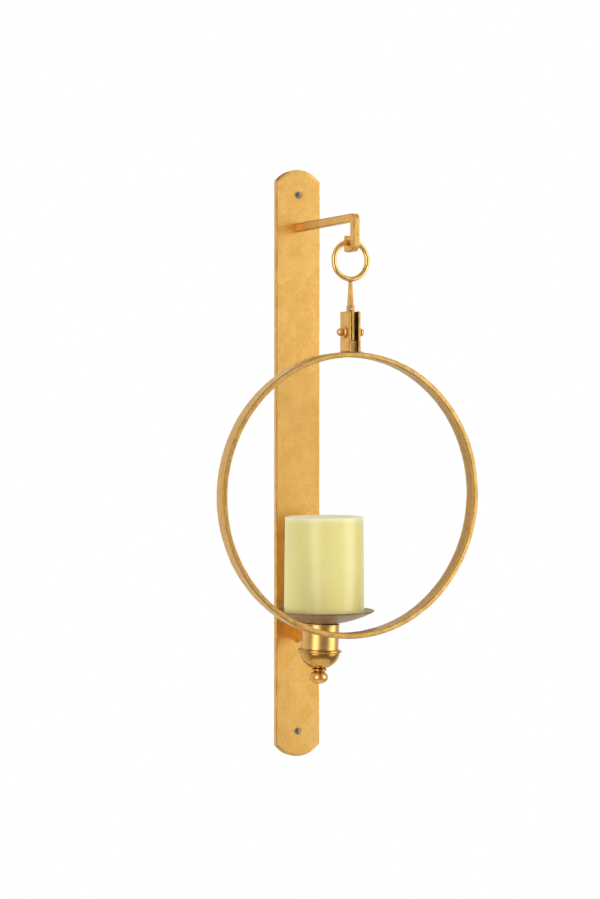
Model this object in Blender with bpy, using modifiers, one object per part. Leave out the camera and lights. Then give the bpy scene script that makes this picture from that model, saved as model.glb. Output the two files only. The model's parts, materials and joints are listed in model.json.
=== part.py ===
"""Wall sconce candle holder.

A long flat back plate carries a hooked arm at the top and a cup arm near the foot. A hoop rolled
from flat strap hangs from the hook by a small ring and a pin hinge, and a pillar candle stands in
the dished pan of the cup, behind the hoop.

Metres. X runs to the right along the wall, Y into the wall and Z up. The origin is the middle of
the back plate's back face, so everything in front of the wall has a negative Y.
"""

import math

import bmesh
import bpy

MM = 0.001
GAP = 0.3 * MM  # clearance that touching pieces keep

# Back plate: flat bar with shallow arched ends
PLATE_HEIGHT = 610 * MM
PLATE_WIDTH = 50 * MM
PLATE_THICK = 6 * MM
PLATE_ARCH = 12.5 * MM  # rise of each arched end above its shoulders
SCREW_HEIGHT = 279 * MM  # of each wall screw, above or below the middle
SCREW_HOLE_R = 2.4 * MM
SCREW_SHANK_R = 2 * MM
SINK_R = 3.5 * MM  # mouth of the countersink
SINK_DEPTH = 2.6 * MM
SCREW_HEAD_R = 3.1 * MM
SCREW_HEAD_DEPTH = 2.2 * MM
DRIVE_SLOT_WIDTH = 0.9 * MM
DRIVE_SLOT_DEPTH = 0.8 * MM

# Hooked arm: square bar
BAR_WIDTH = 7 * MM
BAR_THICK = 8 * MM
ARM_TOP_Z = 250.8 * MM  # at the elbow
ARM_ROOT_TOP_Z = 249.4 * MM  # at the plate, where the bar is a little thicker
ARM_ROOT_FOOT_Z = 240.6 * MM
ARM_FRONT_Y = -138.5 * MM
ELBOW_R = 6 * MM
HOOK_FLOOR_Z = 220 * MM
HOOK_UNDERSIDE_Z = 213 * MM
HOOK_TIP_TOP_Z = 229.5 * MM
HOOK_TIP_FRONT_Y = -121.9 * MM
HOOK_TIP_BACK_Y = -116.9 * MM
HOOK_TOE_R = 8.5 * MM
HOOK_HEEL_R = 3 * MM
CROOK_R = 2 * MM  # inside corners of the hook
EDGE = 0.6 * MM  # small round on forged edges

# Hanging parts, all in one plane parallel to the wall
HANG_Y = -125 * MM
RING_WIRE_R = 2.5 * MM
RING_R = 18.5 * MM  # to the middle of the wire
BLADE_FOOT_Z = 159.5 * MM
BLADE_WIDTH = 3 * MM
BLADE_DEPTH_TOP = 3 * MM
BLADE_DEPTH_FOOT = 9.3 * MM
TONGUE_WIDTH = 3.5 * MM
TONGUE_DEPTH = 12 * MM

# Hinge between the blade and the hoop
PIN_Z = 133.3 * MM
PIN_R = 2.2 * MM
PIN_REACH = 10.6 * MM  # pin's half length
TONGUE_FOOT_Z = 124.5 * MM
TONGUE_CORNER_R = 1.5 * MM
SLOT_HALF = 4.1 * MM  # half the slot between the cheeks
CHEEK_THICK = 2.4 * MM
CLEVIS_DEPTH = 19.5 * MM
CLEVIS_TOP_Z = 153.8 * MM
SPACER_DEPTH = 13 * MM
TONGUE_SWEEP_R = 10.4 * MM  # hollow in the spacer that clears the tongue's foot, about the pin
COLLAR_R = 5.9 * MM
COLLAR_THICK = 2.4 * MM
COLLAR_EDGE = 0.9 * MM
PIN_BALL_R = 4 * MM
PIN_BALL_X = 11 * MM

# Hoop: flat strap
HOOP_R = 142.5 * MM
HOOP_THICK = 5 * MM
HOOP_DEPTH = 16 * MM
HOOP_Z = -29 * MM
HOOP_EDGE = 0.9 * MM

# Cup, from its own upright axis outwards
CUP_Y = -62 * MM
STACK_X = -1.75 * MM  # middle of the tube; tube, bowl, finial and rod lean together about it
STACK_Z = -175.5 * MM
STACK_LEAN = math.radians(2.5)  # top to the right
PAN_X = 1.8 * MM  # the pan is clamped a little to the right of the tube
PAN_HOLE_R = 6.2 * MM
PAN_R = 52 * MM
PAN_SPHERE_R = 107.5 * MM
PAN_LIP = (0.4, 0.9, 1.6, 1.2)  # rounding of the rim, in half thicknesses
PAN_THICK = 1.5 * MM
PAN_RIM_Z = -149.4 * MM
TUBE_R = 19 * MM
TUBE_WALL = 1.5 * MM
BOWL_RIM_Z = -189 * MM
BOWL_R = 20.8 * MM
BOWL_DEEP = 19.6 * MM
BOWL_WALL = 1.5 * MM
BOWL_FOOT_Z = -207.2 * MM
BOWL_BEAD_R = 1.6 * MM
BOWL_BEAD_DROP = 0.64 * MM  # of the bead's middle below the rim
BOWL_MOUTH_RISE = 0.96 * MM  # of the mouth's inner edge above the rim
NECK_R = 7.8 * MM
NECK_HEIGHT = 3 * MM
KNOB_R = 9.4 * MM
KNOB_HEIGHT = 13.8 * MM
KNOB_FLAT_R = 4.9 * MM  # flat on the knob's top, under the neck
ROD_R = 3 * MM
ROD_TOP_Z = -153.6 * MM
WASHER_R = 9.5 * MM
WASHER_THICK = 1.2 * MM
NUT_ACROSS_CORNERS_R = 5.8 * MM
NUT_HEIGHT = 4.5 * MM
CUP_ARM_THICK = 3 * MM
CUP_ARM_TOP_Z = -164 * MM
CUP_ARM_FOOT_Z = -184 * MM

# Candle
CANDLE_X = 2.5 * MM
CANDLE_HEIGHT = 100 * MM
CANDLE_FOOT_R = 41 * MM
CANDLE_TOP_R = 40 * MM
CANDLE_EDGE = 1.2 * MM
CANDLE_WELL_R = 36 * MM
CANDLE_WELL_DEPTH = 6.5 * MM
CANDLE_WELL_DISH = ((0.6, 0.8 * MM), (0.92, 2.6 * MM))  # (share of the radius, rise) of its floor
WICK_R = 1.3 * MM
WICK_RISE = 4 * MM  # above the floor of the well
WICK_SUNK = 12 * MM

# Worked out from the sizes above. The ring rests on the two edges of the hook's floor.
RING_INSIDE_R = RING_R - RING_WIRE_R
RING_Z = HOOK_FLOOR_Z + GAP - math.sqrt(RING_INSIDE_R ** 2 - (BAR_WIDTH / 2) ** 2)
PAN_SPHERE_Z = PAN_RIM_Z + math.sqrt(PAN_SPHERE_R ** 2 - PAN_R ** 2)
PAN_INNER_R = PAN_SPHERE_R - PAN_THICK
NECK_TOP_Z = BOWL_FOOT_Z - GAP
KNOB_FLAT_Z = NECK_TOP_Z - NECK_HEIGHT - GAP
KNOB_Z = KNOB_FLAT_Z - KNOB_HEIGHT / 2 * math.sqrt(1 - (KNOB_FLAT_R / KNOB_R) ** 2)
KNOB_BORE_Z = KNOB_Z - 0.1 * KNOB_HEIGHT  # end of the knob's blind bore


def pan_height(radius, sphere_r):
    """Height of a pan surface at a radius from the cup's axis."""
    return PAN_SPHERE_Z - math.sqrt(sphere_r ** 2 - radius ** 2)


ROD_SHIFT = PAN_X - STACK_X - (PAN_RIM_Z - STACK_Z) * math.tan(STACK_LEAN)  # from the pan's middle
WASHER_FOOT_Z = pan_height(WASHER_R - ROD_SHIFT, PAN_INNER_R) + WASHER_R * math.sin(STACK_LEAN) + GAP
NUT_FOOT_Z = WASHER_FOOT_Z + WASHER_THICK + GAP
CANDLE_FOOT_Z = pan_height(CANDLE_FOOT_R - CANDLE_EDGE / 2 + CANDLE_X - PAN_X, PAN_INNER_R) + GAP

GOLD = ("gold_leaf", (0.78, 0.52, 0.19), 0.38, 1.0)
BRIGHT_GOLD = ("bright_gold", (0.85, 0.60, 0.25), 0.25, 1.0)
PAN_BRONZE = ("pan_bronze", (0.50, 0.38, 0.24), 0.45, 0.8)
STEEL = ("steel", (0.55, 0.54, 0.52), 0.35, 1.0)
WAX = ("wax", (0.80, 0.70, 0.30), 0.40, 0.0)
COTTON = ("cotton", (0.80, 0.76, 0.66), 0.90, 0.0)


# ---------------------------------------------------------------- helpers


def clear_scene():
    for obj in list(bpy.data.objects):
        bpy.data.objects.remove(obj, do_unlink=True)


def collection(name):
    group = bpy.data.collections.new(name)
    bpy.context.scene.collection.children.link(group)
    return group


def finish_material(finish):
    name, colour, roughness, metallic = finish
    material = bpy.data.materials.get(name)
    if material is None:
        material = bpy.data.materials.new(name)
        material.use_nodes = True
        shader = material.node_tree.nodes["Principled BSDF"]
        shader.inputs["Base Color"].default_value = (*colour, 1.0)
        shader.inputs["Roughness"].default_value = roughness
        shader.inputs["Metallic"].default_value = metallic
    return material


def place(obj, finish, group, parent=None, location=(0, 0, 0), rotation=(0, 0, 0)):
    """Links an object, gives it its material and puts it on its parent's axis."""
    group.objects.link(obj)
    obj.location = location
    obj.rotation_euler = rotation
    if parent is not None:
        obj.parent = parent
    if finish is not None:
        obj.data.materials.append(finish_material(finish))
    return obj


def pivot(name, group, location, rotation=(0, 0, 0)):
    """Empty on an axis, the parent of everything that turns, slides or leans there."""
    empty = bpy.data.objects.new(name, None)
    empty.location = location
    empty.rotation_euler = rotation
    group.objects.link(empty)
    return empty


def arc(centre, radius, start, end, steps):
    """Points of an arc, angles in degrees, from start to end."""
    cx, cy = centre
    turns = [math.radians(start + (end - start) * i / steps) for i in range(steps + 1)]
    return [(cx + radius * math.cos(t), cy + radius * math.sin(t)) for t in turns]


AXIS_TURN = {"Z": (0, 0, 0), "Y": (-math.pi / 2, 0, 0), "X": (0, math.pi / 2, 0)}


def turned(name, profile, finish, group, location, parent=None, axis="Z", steps=36, closed=False):
    """Lathe-turned piece: a profile of (radius, height) points swept round an axis."""
    mesh = bpy.data.meshes.new(name)
    count = len(profile)
    edges = [(i, i + 1) for i in range(count - 1)]
    if closed:
        edges.append((count - 1, 0))
    mesh.from_pydata([(radius, 0, height) for radius, height in profile], edges, [])
    obj = place(bpy.data.objects.new(name, mesh), finish, group, parent, location, AXIS_TURN[axis])
    screw = obj.modifiers.new("turn", "SCREW")
    screw.steps = steps
    screw.render_steps = steps
    screw.use_merge_vertices = True
    screw.merge_threshold = 0.00001
    return obj


def outline_solid(
    name, points, thickness, finish, group, location=(0, 0, 0), parent=None, rotation=(0, 0, 0),
):
    """Flat outline given as (x, y) points, thickened evenly to both sides of its plane."""
    curve = bpy.data.curves.new(name, "CURVE")
    curve.dimensions = "2D"
    curve.fill_mode = "BOTH"
    curve.extrude = thickness / 2
    spline = curve.splines.new("POLY")
    spline.points.add(len(points) - 1)
    for point, (x, y) in zip(spline.points, points):
        point.co = (x, y, 0, 1)
    spline.use_cyclic_u = True
    return place(bpy.data.objects.new(name, curve), finish, group, parent, location, rotation)


def curve_to_mesh(obj):
    """Turns a curve object into a welded mesh object of the same name and place."""
    bpy.context.view_layer.update()
    evaluated = obj.evaluated_get(bpy.context.evaluated_depsgraph_get())
    mesh = bpy.data.meshes.new_from_object(evaluated)
    work = bmesh.new()
    work.from_mesh(mesh)
    bmesh.ops.remove_doubles(work, verts=work.verts, dist=0.00001)
    work.to_mesh(mesh)
    work.free()
    name, group, parent, world = obj.name, obj.users_collection[0], obj.parent, obj.matrix_world.copy()
    bpy.data.objects.remove(obj, do_unlink=True)
    solid = bpy.data.objects.new(name, mesh)
    group.objects.link(solid)
    solid.parent = parent
    solid.matrix_world = world
    return solid


def bar(name, size, centre, finish, group, parent=None):
    """Rectangular bar of a given size about its centre."""
    mesh = bpy.data.meshes.new(name)
    work = bmesh.new()
    bmesh.ops.create_cube(work, size=1)
    bmesh.ops.scale(work, vec=size, verts=work.verts)
    work.to_mesh(mesh)
    work.free()
    return place(bpy.data.objects.new(name, mesh), finish, group, parent, centre)


def soften(obj, width=EDGE, segments=1):
    """Small round along the sharp edges."""
    bevel = obj.modifiers.new("edges", "BEVEL")
    bevel.width = width
    bevel.segments = segments
    bevel.limit_method = "ANGLE"
    bevel.angle_limit = math.radians(40)
    return obj


def cut(obj, cutter):
    """Takes a cutter's volume out of a piece."""
    cutter.hide_render = True
    cutter.display_type = "WIRE"
    boolean = obj.modifiers.new("cut", "BOOLEAN")
    boolean.operation = "DIFFERENCE"
    boolean.solver = "EXACT"
    boolean.object = cutter
    return obj


def pin_hole(name, obj, radius, cutters, location):
    """Round hole along X through a piece."""
    reach = 20 * MM
    profile = [(0, reach), (radius, reach), (radius, -reach), (0, -reach)]
    return cut(obj, turned(name, profile, None, cutters, location, axis="X", steps=20))


# ---------------------------------------------------------------- back plate and its screws


def plate_outline():
    """Straight sides with a shallow arch at each end, as (x, z) points."""
    half = PLATE_WIDTH / 2
    arch_r = (half ** 2 + PLATE_ARCH ** 2) / (2 * PLATE_ARCH)
    spread = math.degrees(math.asin(half / arch_r))
    top = arc((0, PLATE_HEIGHT / 2 - arch_r), arch_r, 90 - spread, 90 + spread, 14)
    return top + [(-x, -z) for x, z in top]


def back_plate(parts, cutters):
    plate = outline_solid(
        "back_plate", plate_outline(), PLATE_THICK, GOLD, parts,
        location=(0, -PLATE_THICK / 2, 0), rotation=(math.pi / 2, 0, 0),
    )
    plate = soften(curve_to_mesh(plate))
    # countersunk hole, its profile running from the front face to past the back face
    profile = [
        (0, EDGE),
        (SINK_R + EDGE, EDGE),
        (SCREW_HOLE_R, -SINK_DEPTH),
        (SCREW_HOLE_R, -PLATE_THICK - EDGE),
        (0, -PLATE_THICK - EDGE),
    ]
    for place_name, z in (("top", SCREW_HEIGHT), ("bottom", -SCREW_HEIGHT)):
        sink = turned(place_name + "_screw_hole", profile, None, cutters, (0, -PLATE_THICK, z), steps=24)
        sink.rotation_euler = (math.pi / 2, 0, 0)
        cut(plate, sink)


def wall_screws(parts, cutters):
    """Countersunk screws, their shanks ending just inside the plate's back face."""
    depth = PLATE_THICK - 2 * GAP
    profile = [
        (0, 0),
        (SCREW_HEAD_R, 0),
        (SCREW_HEAD_R, -0.4 * MM),
        (SCREW_SHANK_R, -SCREW_HEAD_DEPTH),
        (SCREW_SHANK_R, -depth),
        (0, -depth),
    ]
    for place_name, z in (("top", SCREW_HEIGHT), ("bottom", -SCREW_HEIGHT)):
        screw = turned(
            place_name + "_wall_screw", profile, STEEL, parts, (0, -PLATE_THICK + GAP, z), steps=24,
        )
        screw.rotation_euler = (math.pi / 2, 0, 0)
        size = (3 * SCREW_HEAD_R, 2 * DRIVE_SLOT_DEPTH, DRIVE_SLOT_WIDTH)
        slot = bar(place_name + "_drive_slot", size, (0, -PLATE_THICK + GAP, z), None, cutters)
        cut(screw, slot)


# ---------------------------------------------------------------- hooked arm


def hook_outline():
    """Side view of the arm as (y, z) points: out from the plate, down, and up again in a hook."""
    back = -PLATE_THICK - GAP
    drop_back = ARM_FRONT_Y + BAR_THICK
    arm_foot = ARM_TOP_Z - BAR_THICK
    points = [(back, ARM_ROOT_FOOT_Z), (back, ARM_ROOT_TOP_Z)]
    points += arc((ARM_FRONT_Y + ELBOW_R, ARM_TOP_Z - ELBOW_R), ELBOW_R, 90, 180, 6)
    points += arc((ARM_FRONT_Y + HOOK_TOE_R, HOOK_UNDERSIDE_Z + HOOK_TOE_R), HOOK_TOE_R, 180, 270, 4)
    points += arc((HOOK_TIP_BACK_Y - HOOK_HEEL_R, HOOK_UNDERSIDE_Z + HOOK_HEEL_R), HOOK_HEEL_R, 270, 360, 4)
    tip_r = (HOOK_TIP_BACK_Y - HOOK_TIP_FRONT_Y) / 2
    points += arc((HOOK_TIP_FRONT_Y + tip_r, HOOK_TIP_TOP_Z - tip_r), tip_r, 0, 180, 6)
    # crook that the ring's wire lies in
    crook_z = HOOK_FLOOR_Z + CROOK_R
    points += arc((HOOK_TIP_FRONT_Y - CROOK_R, crook_z), CROOK_R, 0, -90, 4)
    points += arc((drop_back + CROOK_R, crook_z), CROOK_R, -90, -180, 4)
    points += [(drop_back, arm_foot)]
    return points


def hook_arm(parts):
    # the outline's plane stands upright, across the wall
    arm = outline_solid(
        "hook_arm", hook_outline(), BAR_WIDTH, GOLD, parts,
        rotation=(math.pi / 2, 0, math.pi / 2),
    )
    soften(curve_to_mesh(arm))


# ---------------------------------------------------------------- ring, blade and tongue


def hanging_ring(parts, turn):
    """Round wire ring, parallel to the wall."""
    wire = arc((RING_R, 0), RING_WIRE_R, 0, -360, 10)[:-1]
    turned("hanging_ring", wire, GOLD, parts, (0, 0, 0), turn, axis="Y", steps=48, closed=True)


def blade_and_tongue(parts, cutters, turn):
    top = -RING_R - RING_WIRE_R - GAP
    foot = BLADE_FOOT_Z - RING_Z
    outline = [
        (-BLADE_DEPTH_TOP / 2, top),
        (-BLADE_DEPTH_FOOT / 2, foot + GAP),
        (BLADE_DEPTH_FOOT / 2, foot + GAP),
        (BLADE_DEPTH_TOP / 2, top),
    ]
    upright = (math.pi / 2, 0, math.pi / 2)
    blade = outline_solid("hanger_blade", outline, BLADE_WIDTH, GOLD, parts, parent=turn, rotation=upright)
    soften(curve_to_mesh(blade), 0.4 * MM)

    half = TONGUE_DEPTH / 2
    corner = TONGUE_CORNER_R
    corner_z = TONGUE_FOOT_Z - RING_Z + corner
    outline = [(-half, foot), *arc((-half + corner, corner_z), corner, 180, 270, 4)]
    outline += [*arc((half - corner, corner_z), corner, 270, 360, 4), (half, foot)]
    tongue = outline_solid("hinge_tongue", outline, TONGUE_WIDTH, GOLD, parts, parent=turn, rotation=upright)
    tongue = soften(curve_to_mesh(tongue), 0.4 * MM)
    pin_hole("tongue_hole", tongue, PIN_R + GAP, cutters, (0, HANG_Y, PIN_Z))


# ---------------------------------------------------------------- hoop and its clevis


def hoop(parts, swing):
    """Flat strap rolled into a ring, its edges slightly rounded."""
    inner = HOOP_R - HOOP_THICK
    half = HOOP_DEPTH / 2
    e = HOOP_EDGE
    section = [
        (HOOP_R, half - e), (HOOP_R, -half + e), (HOOP_R - e, -half), (inner + e, -half),
        (inner, -half + e), (inner, half - e), (inner + e, half), (HOOP_R - e, half),
    ]
    turned("hoop", section, GOLD, parts, (0, 0, HOOP_Z - PIN_Z), swing, axis="Y", steps=96, closed=True)


def clevis(parts, cutters, swing):
    """Two cheeks and the spacer between them, standing on the hoop."""
    foot = HOOP_Z + HOOP_R + GAP
    height = CLEVIS_TOP_Z - foot
    middle = (CLEVIS_TOP_Z + foot) / 2 - PIN_Z
    for side, name in ((-1, "left"), (1, "right")):
        x = side * (SLOT_HALF + CHEEK_THICK / 2)
        size = (CHEEK_THICK, CLEVIS_DEPTH, height)
        cheek = bar("clevis_cheek_" + name, size, (x, 0, middle), GOLD, parts, swing)
        soften(cheek, 0.5 * MM)
        pin_hole("cheek_hole_" + name, cheek, PIN_R + GAP, cutters, (x, HANG_Y, PIN_Z))
    half = SPACER_DEPTH / 2
    lean = math.degrees(math.asin(half / TONGUE_SWEEP_R))
    foot_z = foot - PIN_Z
    outline = [(-half, foot_z), *arc((0, 0), TONGUE_SWEEP_R, -90 - lean, -90 + lean, 8), (half, foot_z)]
    spacer = outline_solid(
        "clevis_spacer", outline, 2 * (SLOT_HALF - GAP), GOLD, parts,
        parent=swing, rotation=(math.pi / 2, 0, math.pi / 2),
    )
    curve_to_mesh(spacer)


def hinge_pin(parts, swing):
    """Pin with a collar and a ball at each end."""
    profile = [(0, PIN_REACH), (PIN_R, PIN_REACH), (PIN_R, -PIN_REACH), (0, -PIN_REACH)]
    turned("hinge_pin", profile, BRIGHT_GOLD, parts, (0, 0, 0), swing, axis="X", steps=20)
    bore = PIN_R + GAP
    collar_x = SLOT_HALF + CHEEK_THICK + GAP + COLLAR_THICK / 2
    edge = COLLAR_EDGE
    half = COLLAR_THICK / 2
    collar = [
        (bore, half), (COLLAR_R - edge, half), (COLLAR_R, half - edge), (COLLAR_R, -half + edge),
        (COLLAR_R - edge, -half), (bore, -half),
    ]
    # the ball is flat where it meets the collar, with a blind bore there for the pin
    flat = collar_x + half + GAP - PIN_BALL_X
    bore_end = PIN_REACH - PIN_BALL_X + GAP
    ball = [(0, PIN_BALL_R), *arc((0, 0), PIN_BALL_R, 75, math.degrees(math.asin(flat / PIN_BALL_R)), 8)]
    ball += [(bore, flat), (bore, bore_end), (0, bore_end)]
    for side, name in ((-1, "left"), (1, "right")):
        turned("pin_collar_" + name, collar, BRIGHT_GOLD, parts, (side * collar_x, 0, 0), swing,
               axis="X", steps=24, closed=True)
        end = turned("pin_ball_" + name, ball, BRIGHT_GOLD, parts, (side * PIN_BALL_X, 0, 0), swing,
                     axis="X", steps=24)
        end.rotation_euler = (0, side * math.pi / 2, 0)


# ---------------------------------------------------------------- cup


def cup_arm(parts):
    """Thin bar on edge, from the plate to the back of the tube."""
    back = -PLATE_THICK - GAP
    front = CUP_Y + TUBE_R + GAP
    size = (CUP_ARM_THICK, back - front, CUP_ARM_TOP_Z - CUP_ARM_FOOT_Z)
    centre = (0, (back + front) / 2, (CUP_ARM_TOP_Z + CUP_ARM_FOOT_Z) / 2)
    soften(bar("cup_arm", size, centre, GOLD, parts), 0.4 * MM)


def candle_pan(parts):
    """Shallow dish pressed from sheet, its surfaces parts of two spheres about one centre."""
    steps = 7

    def surface(sphere_r, start, end):
        radii = [start + (end - start) * i / steps for i in range(steps + 1)]
        return [(radius, pan_height(radius, sphere_r)) for radius in radii]

    lip = PAN_THICK / 2
    out, out_rise, back, back_rise = PAN_LIP
    rim = [(PAN_R - lip * back, PAN_RIM_Z + lip * back_rise), (PAN_R - lip * out, PAN_RIM_Z + lip * out_rise)]
    profile = surface(PAN_SPHERE_R, PAN_R, PAN_HOLE_R)
    profile += surface(PAN_INNER_R, PAN_HOLE_R, PAN_R - 2 * lip) + rim
    turned("candle_pan", profile, PAN_BRONZE, parts, (PAN_X, CUP_Y, 0), steps=48, closed=True)


def cup_tube(parts, stack):
    inner = TUBE_R - TUBE_WALL
    top = pan_height(inner + ROD_SHIFT, PAN_SPHERE_R) - inner * math.sin(STACK_LEAN) - GAP
    foot = BOWL_RIM_Z - 1 * MM
    profile = [(TUBE_R, top), (TUBE_R, foot), (inner, foot), (inner, top)]
    turned("cup_tube", profile, BRIGHT_GOLD, parts, (0, 0, -STACK_Z), stack, steps=40, closed=True)


def cup_bowl(parts, stack):
    """Thin bowl with a round bead along its rim and a flat, drilled foot."""

    def wall(half_width, depth, foot_z, steps):
        lowest = math.asin((BOWL_RIM_Z - foot_z) / depth)
        angles = [lowest * i / steps for i in range(steps + 1)]
        return [(half_width * math.cos(a), BOWL_RIM_Z - depth * math.sin(a)) for a in angles]

    bore = ROD_R + GAP
    outside = wall(BOWL_R, BOWL_DEEP, BOWL_FOOT_Z, 8)[1:]
    inside = wall(BOWL_R - BOWL_WALL, BOWL_DEEP - BOWL_WALL, BOWL_FOOT_Z + BOWL_WALL, 6)
    mouth_top = BOWL_RIM_Z + BOWL_MOUTH_RISE
    bead = arc((BOWL_R, BOWL_RIM_Z - BOWL_BEAD_DROP), BOWL_BEAD_R, 100, -75, 7)
    profile = bead + outside + [(bore, BOWL_FOOT_Z), (bore, BOWL_FOOT_Z + BOWL_WALL)]
    profile += inside[::-1] + [(TUBE_R + GAP, mouth_top)]
    turned("cup_bowl", profile, BRIGHT_GOLD, parts, (0, 0, -STACK_Z), stack, steps=40, closed=True)


def finial(parts, stack):
    """Turned neck and knob under the bowl."""
    bore = ROD_R + GAP
    half = NECK_HEIGHT / 2
    top = NECK_TOP_Z
    neck = [(bore, top), (NECK_R - half, top)]
    neck += arc((NECK_R - half, top - half), half, 60, -60, 4)
    neck += [(NECK_R - half, top - 2 * half), (bore, top - 2 * half)]
    turned("finial_collar", neck, BRIGHT_GOLD, parts, (0, 0, -STACK_Z), stack, steps=32, closed=True)

    half = KNOB_HEIGHT / 2
    # flat top that meets the neck, the ball below it, and the blind bore of the rod
    start = math.acos(KNOB_FLAT_R / KNOB_R)
    angles = [start - (start + math.pi / 2) * i / 12 for i in range(12)]
    knob = [(0, KNOB_BORE_Z), (bore, KNOB_BORE_Z), (bore, KNOB_FLAT_Z)]
    knob += [(KNOB_R * math.cos(a), KNOB_Z + half * math.sin(a)) for a in angles]
    knob += [(0, KNOB_Z - half)]
    turned("finial_knob", knob, BRIGHT_GOLD, parts, (0, 0, -STACK_Z), stack, steps=32)


def rod_and_nut(parts, cutters, stack):
    """Threaded rod through the cup, with the washer and nut that clamp the pan."""
    foot = KNOB_BORE_Z + GAP
    profile = [(0, ROD_TOP_Z), (ROD_R, ROD_TOP_Z), (ROD_R, foot), (0, foot)]
    turned("centre_rod", profile, STEEL, parts, (0, 0, -STACK_Z), stack, steps=18)
    bore = ROD_R + GAP
    washer_top = WASHER_FOOT_Z + WASHER_THICK
    washer = [(bore, washer_top), (WASHER_R, washer_top), (WASHER_R, WASHER_FOOT_Z), (bore, WASHER_FOOT_Z)]
    turned("pan_washer", washer, STEEL, parts, (0, 0, -STACK_Z), stack, steps=24, closed=True)
    corner = NUT_ACROSS_CORNERS_R
    outline = arc((0, 0), corner, 0, 360, 6)[:-1]
    centre = (0, 0, NUT_FOOT_Z + NUT_HEIGHT / 2 - STACK_Z)
    nut = outline_solid("pan_nut", outline, NUT_HEIGHT, STEEL, parts, centre, stack)
    nut = curve_to_mesh(nut)
    bore_profile = [(0, NUT_HEIGHT), (bore, NUT_HEIGHT), (bore, -NUT_HEIGHT), (0, -NUT_HEIGHT)]
    cut(nut, turned("nut_bore", bore_profile, None, cutters, centre, stack, steps=18))


# ---------------------------------------------------------------- candle


def candle(parts, cutters, lift):
    """Pillar candle with a shallow well in its top, and the wick that stands in it."""
    e = CANDLE_EDGE
    well = CANDLE_WELL_R
    top = CANDLE_HEIGHT
    well_z = top - CANDLE_WELL_DEPTH
    hole_r = WICK_R + GAP
    hole_z = well_z - WICK_SUNK - GAP
    profile = [
        (0, hole_z), (hole_r, hole_z), (hole_r, well_z),
        *((share * well, well_z + rise) for share, rise in CANDLE_WELL_DISH),
        (well, top - e), (well + 0.6 * e, top),
        (CANDLE_TOP_R - e, top), (CANDLE_TOP_R, top - e), (CANDLE_FOOT_R, e),
        (CANDLE_FOOT_R - e / 2, 0), (0, 0),
    ]
    turned("candle", profile, WAX, parts, (0, 0, 0), lift, steps=48)
    top_z = well_z + WICK_RISE
    foot_z = well_z - WICK_SUNK
    wick = [(0, top_z), (0.7 * WICK_R, top_z), (WICK_R, top_z - 0.5 * MM), (WICK_R, foot_z), (0, foot_z)]
    turned("wick", wick, COTTON, parts, (0, 0, 0), lift, steps=12)


def main():
    clear_scene()
    parts = collection("wall_sconce_candle_holder")
    cutters = collection("cutters")
    ring_turn = pivot("ring_turn_axis", parts, (0, HANG_Y, RING_Z))
    hoop_swing = pivot("hoop_swing_axis", parts, (0, HANG_Y, PIN_Z))
    candle_lift = pivot("candle_lift_axis", parts, (CANDLE_X, CUP_Y, CANDLE_FOOT_Z))
    stack = pivot("cup_stack_axis", parts, (STACK_X, CUP_Y, STACK_Z), (0, STACK_LEAN, 0))

    back_plate(parts, cutters)
    wall_screws(parts, cutters)
    hook_arm(parts)
    hanging_ring(parts, ring_turn)
    blade_and_tongue(parts, cutters, ring_turn)
    hoop(parts, hoop_swing)
    clevis(parts, cutters, hoop_swing)
    hinge_pin(parts, hoop_swing)
    cup_arm(parts)
    candle_pan(parts)
    cup_tube(parts, stack)
    cup_bowl(parts, stack)
    finial(parts, stack)
    rod_and_nut(parts, cutters, stack)
    candle(parts, cutters, candle_lift)


main()
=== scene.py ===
"""Looks of a gilt wall sconce: a flat bar with a hooked arm, a hung strap hoop and a candle cup.

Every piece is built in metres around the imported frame, X to the right along the wall, Y into the
wall and Z up, and takes its place and its main sizes from the frame's own boxes.
"""

import json
import logging
import math
from dataclasses import dataclass, field
from enum import Enum
from typing import Callable, Optional, Sequence, Union

import bmesh
import bpy
from mathutils import Matrix, Vector, kdtree, noise


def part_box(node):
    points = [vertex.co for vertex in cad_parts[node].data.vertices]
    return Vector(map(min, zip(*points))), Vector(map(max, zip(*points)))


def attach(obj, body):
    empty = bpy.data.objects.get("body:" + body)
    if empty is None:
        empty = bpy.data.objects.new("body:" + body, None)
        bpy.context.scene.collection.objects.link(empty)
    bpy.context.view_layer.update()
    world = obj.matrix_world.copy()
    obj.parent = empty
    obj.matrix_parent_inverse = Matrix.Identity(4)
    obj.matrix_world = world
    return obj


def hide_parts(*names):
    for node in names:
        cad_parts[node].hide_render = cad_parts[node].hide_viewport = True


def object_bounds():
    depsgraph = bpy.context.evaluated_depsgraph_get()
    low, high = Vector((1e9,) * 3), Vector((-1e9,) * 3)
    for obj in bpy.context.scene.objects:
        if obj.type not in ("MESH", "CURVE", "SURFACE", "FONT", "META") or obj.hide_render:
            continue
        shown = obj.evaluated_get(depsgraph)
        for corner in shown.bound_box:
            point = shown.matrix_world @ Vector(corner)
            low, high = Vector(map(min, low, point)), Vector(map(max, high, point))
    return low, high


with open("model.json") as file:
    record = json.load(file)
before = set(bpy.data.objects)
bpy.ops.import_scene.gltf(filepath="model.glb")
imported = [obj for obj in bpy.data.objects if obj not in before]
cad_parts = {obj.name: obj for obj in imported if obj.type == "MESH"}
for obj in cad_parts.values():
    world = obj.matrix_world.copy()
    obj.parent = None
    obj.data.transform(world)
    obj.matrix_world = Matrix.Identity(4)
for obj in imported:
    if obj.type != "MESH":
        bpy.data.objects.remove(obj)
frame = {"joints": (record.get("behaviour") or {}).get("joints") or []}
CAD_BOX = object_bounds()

LOG = logging.getLogger("sconce")
MM = 0.001
PATTERN_STEPS = (7.3, 3.1, 5.7)
Pair = tuple[float, float]
Colour = tuple[float, float, float]
Box = tuple[Vector, Vector]
Piece = bpy.types.Object
Socket = bpy.types.NodeSocket
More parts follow.
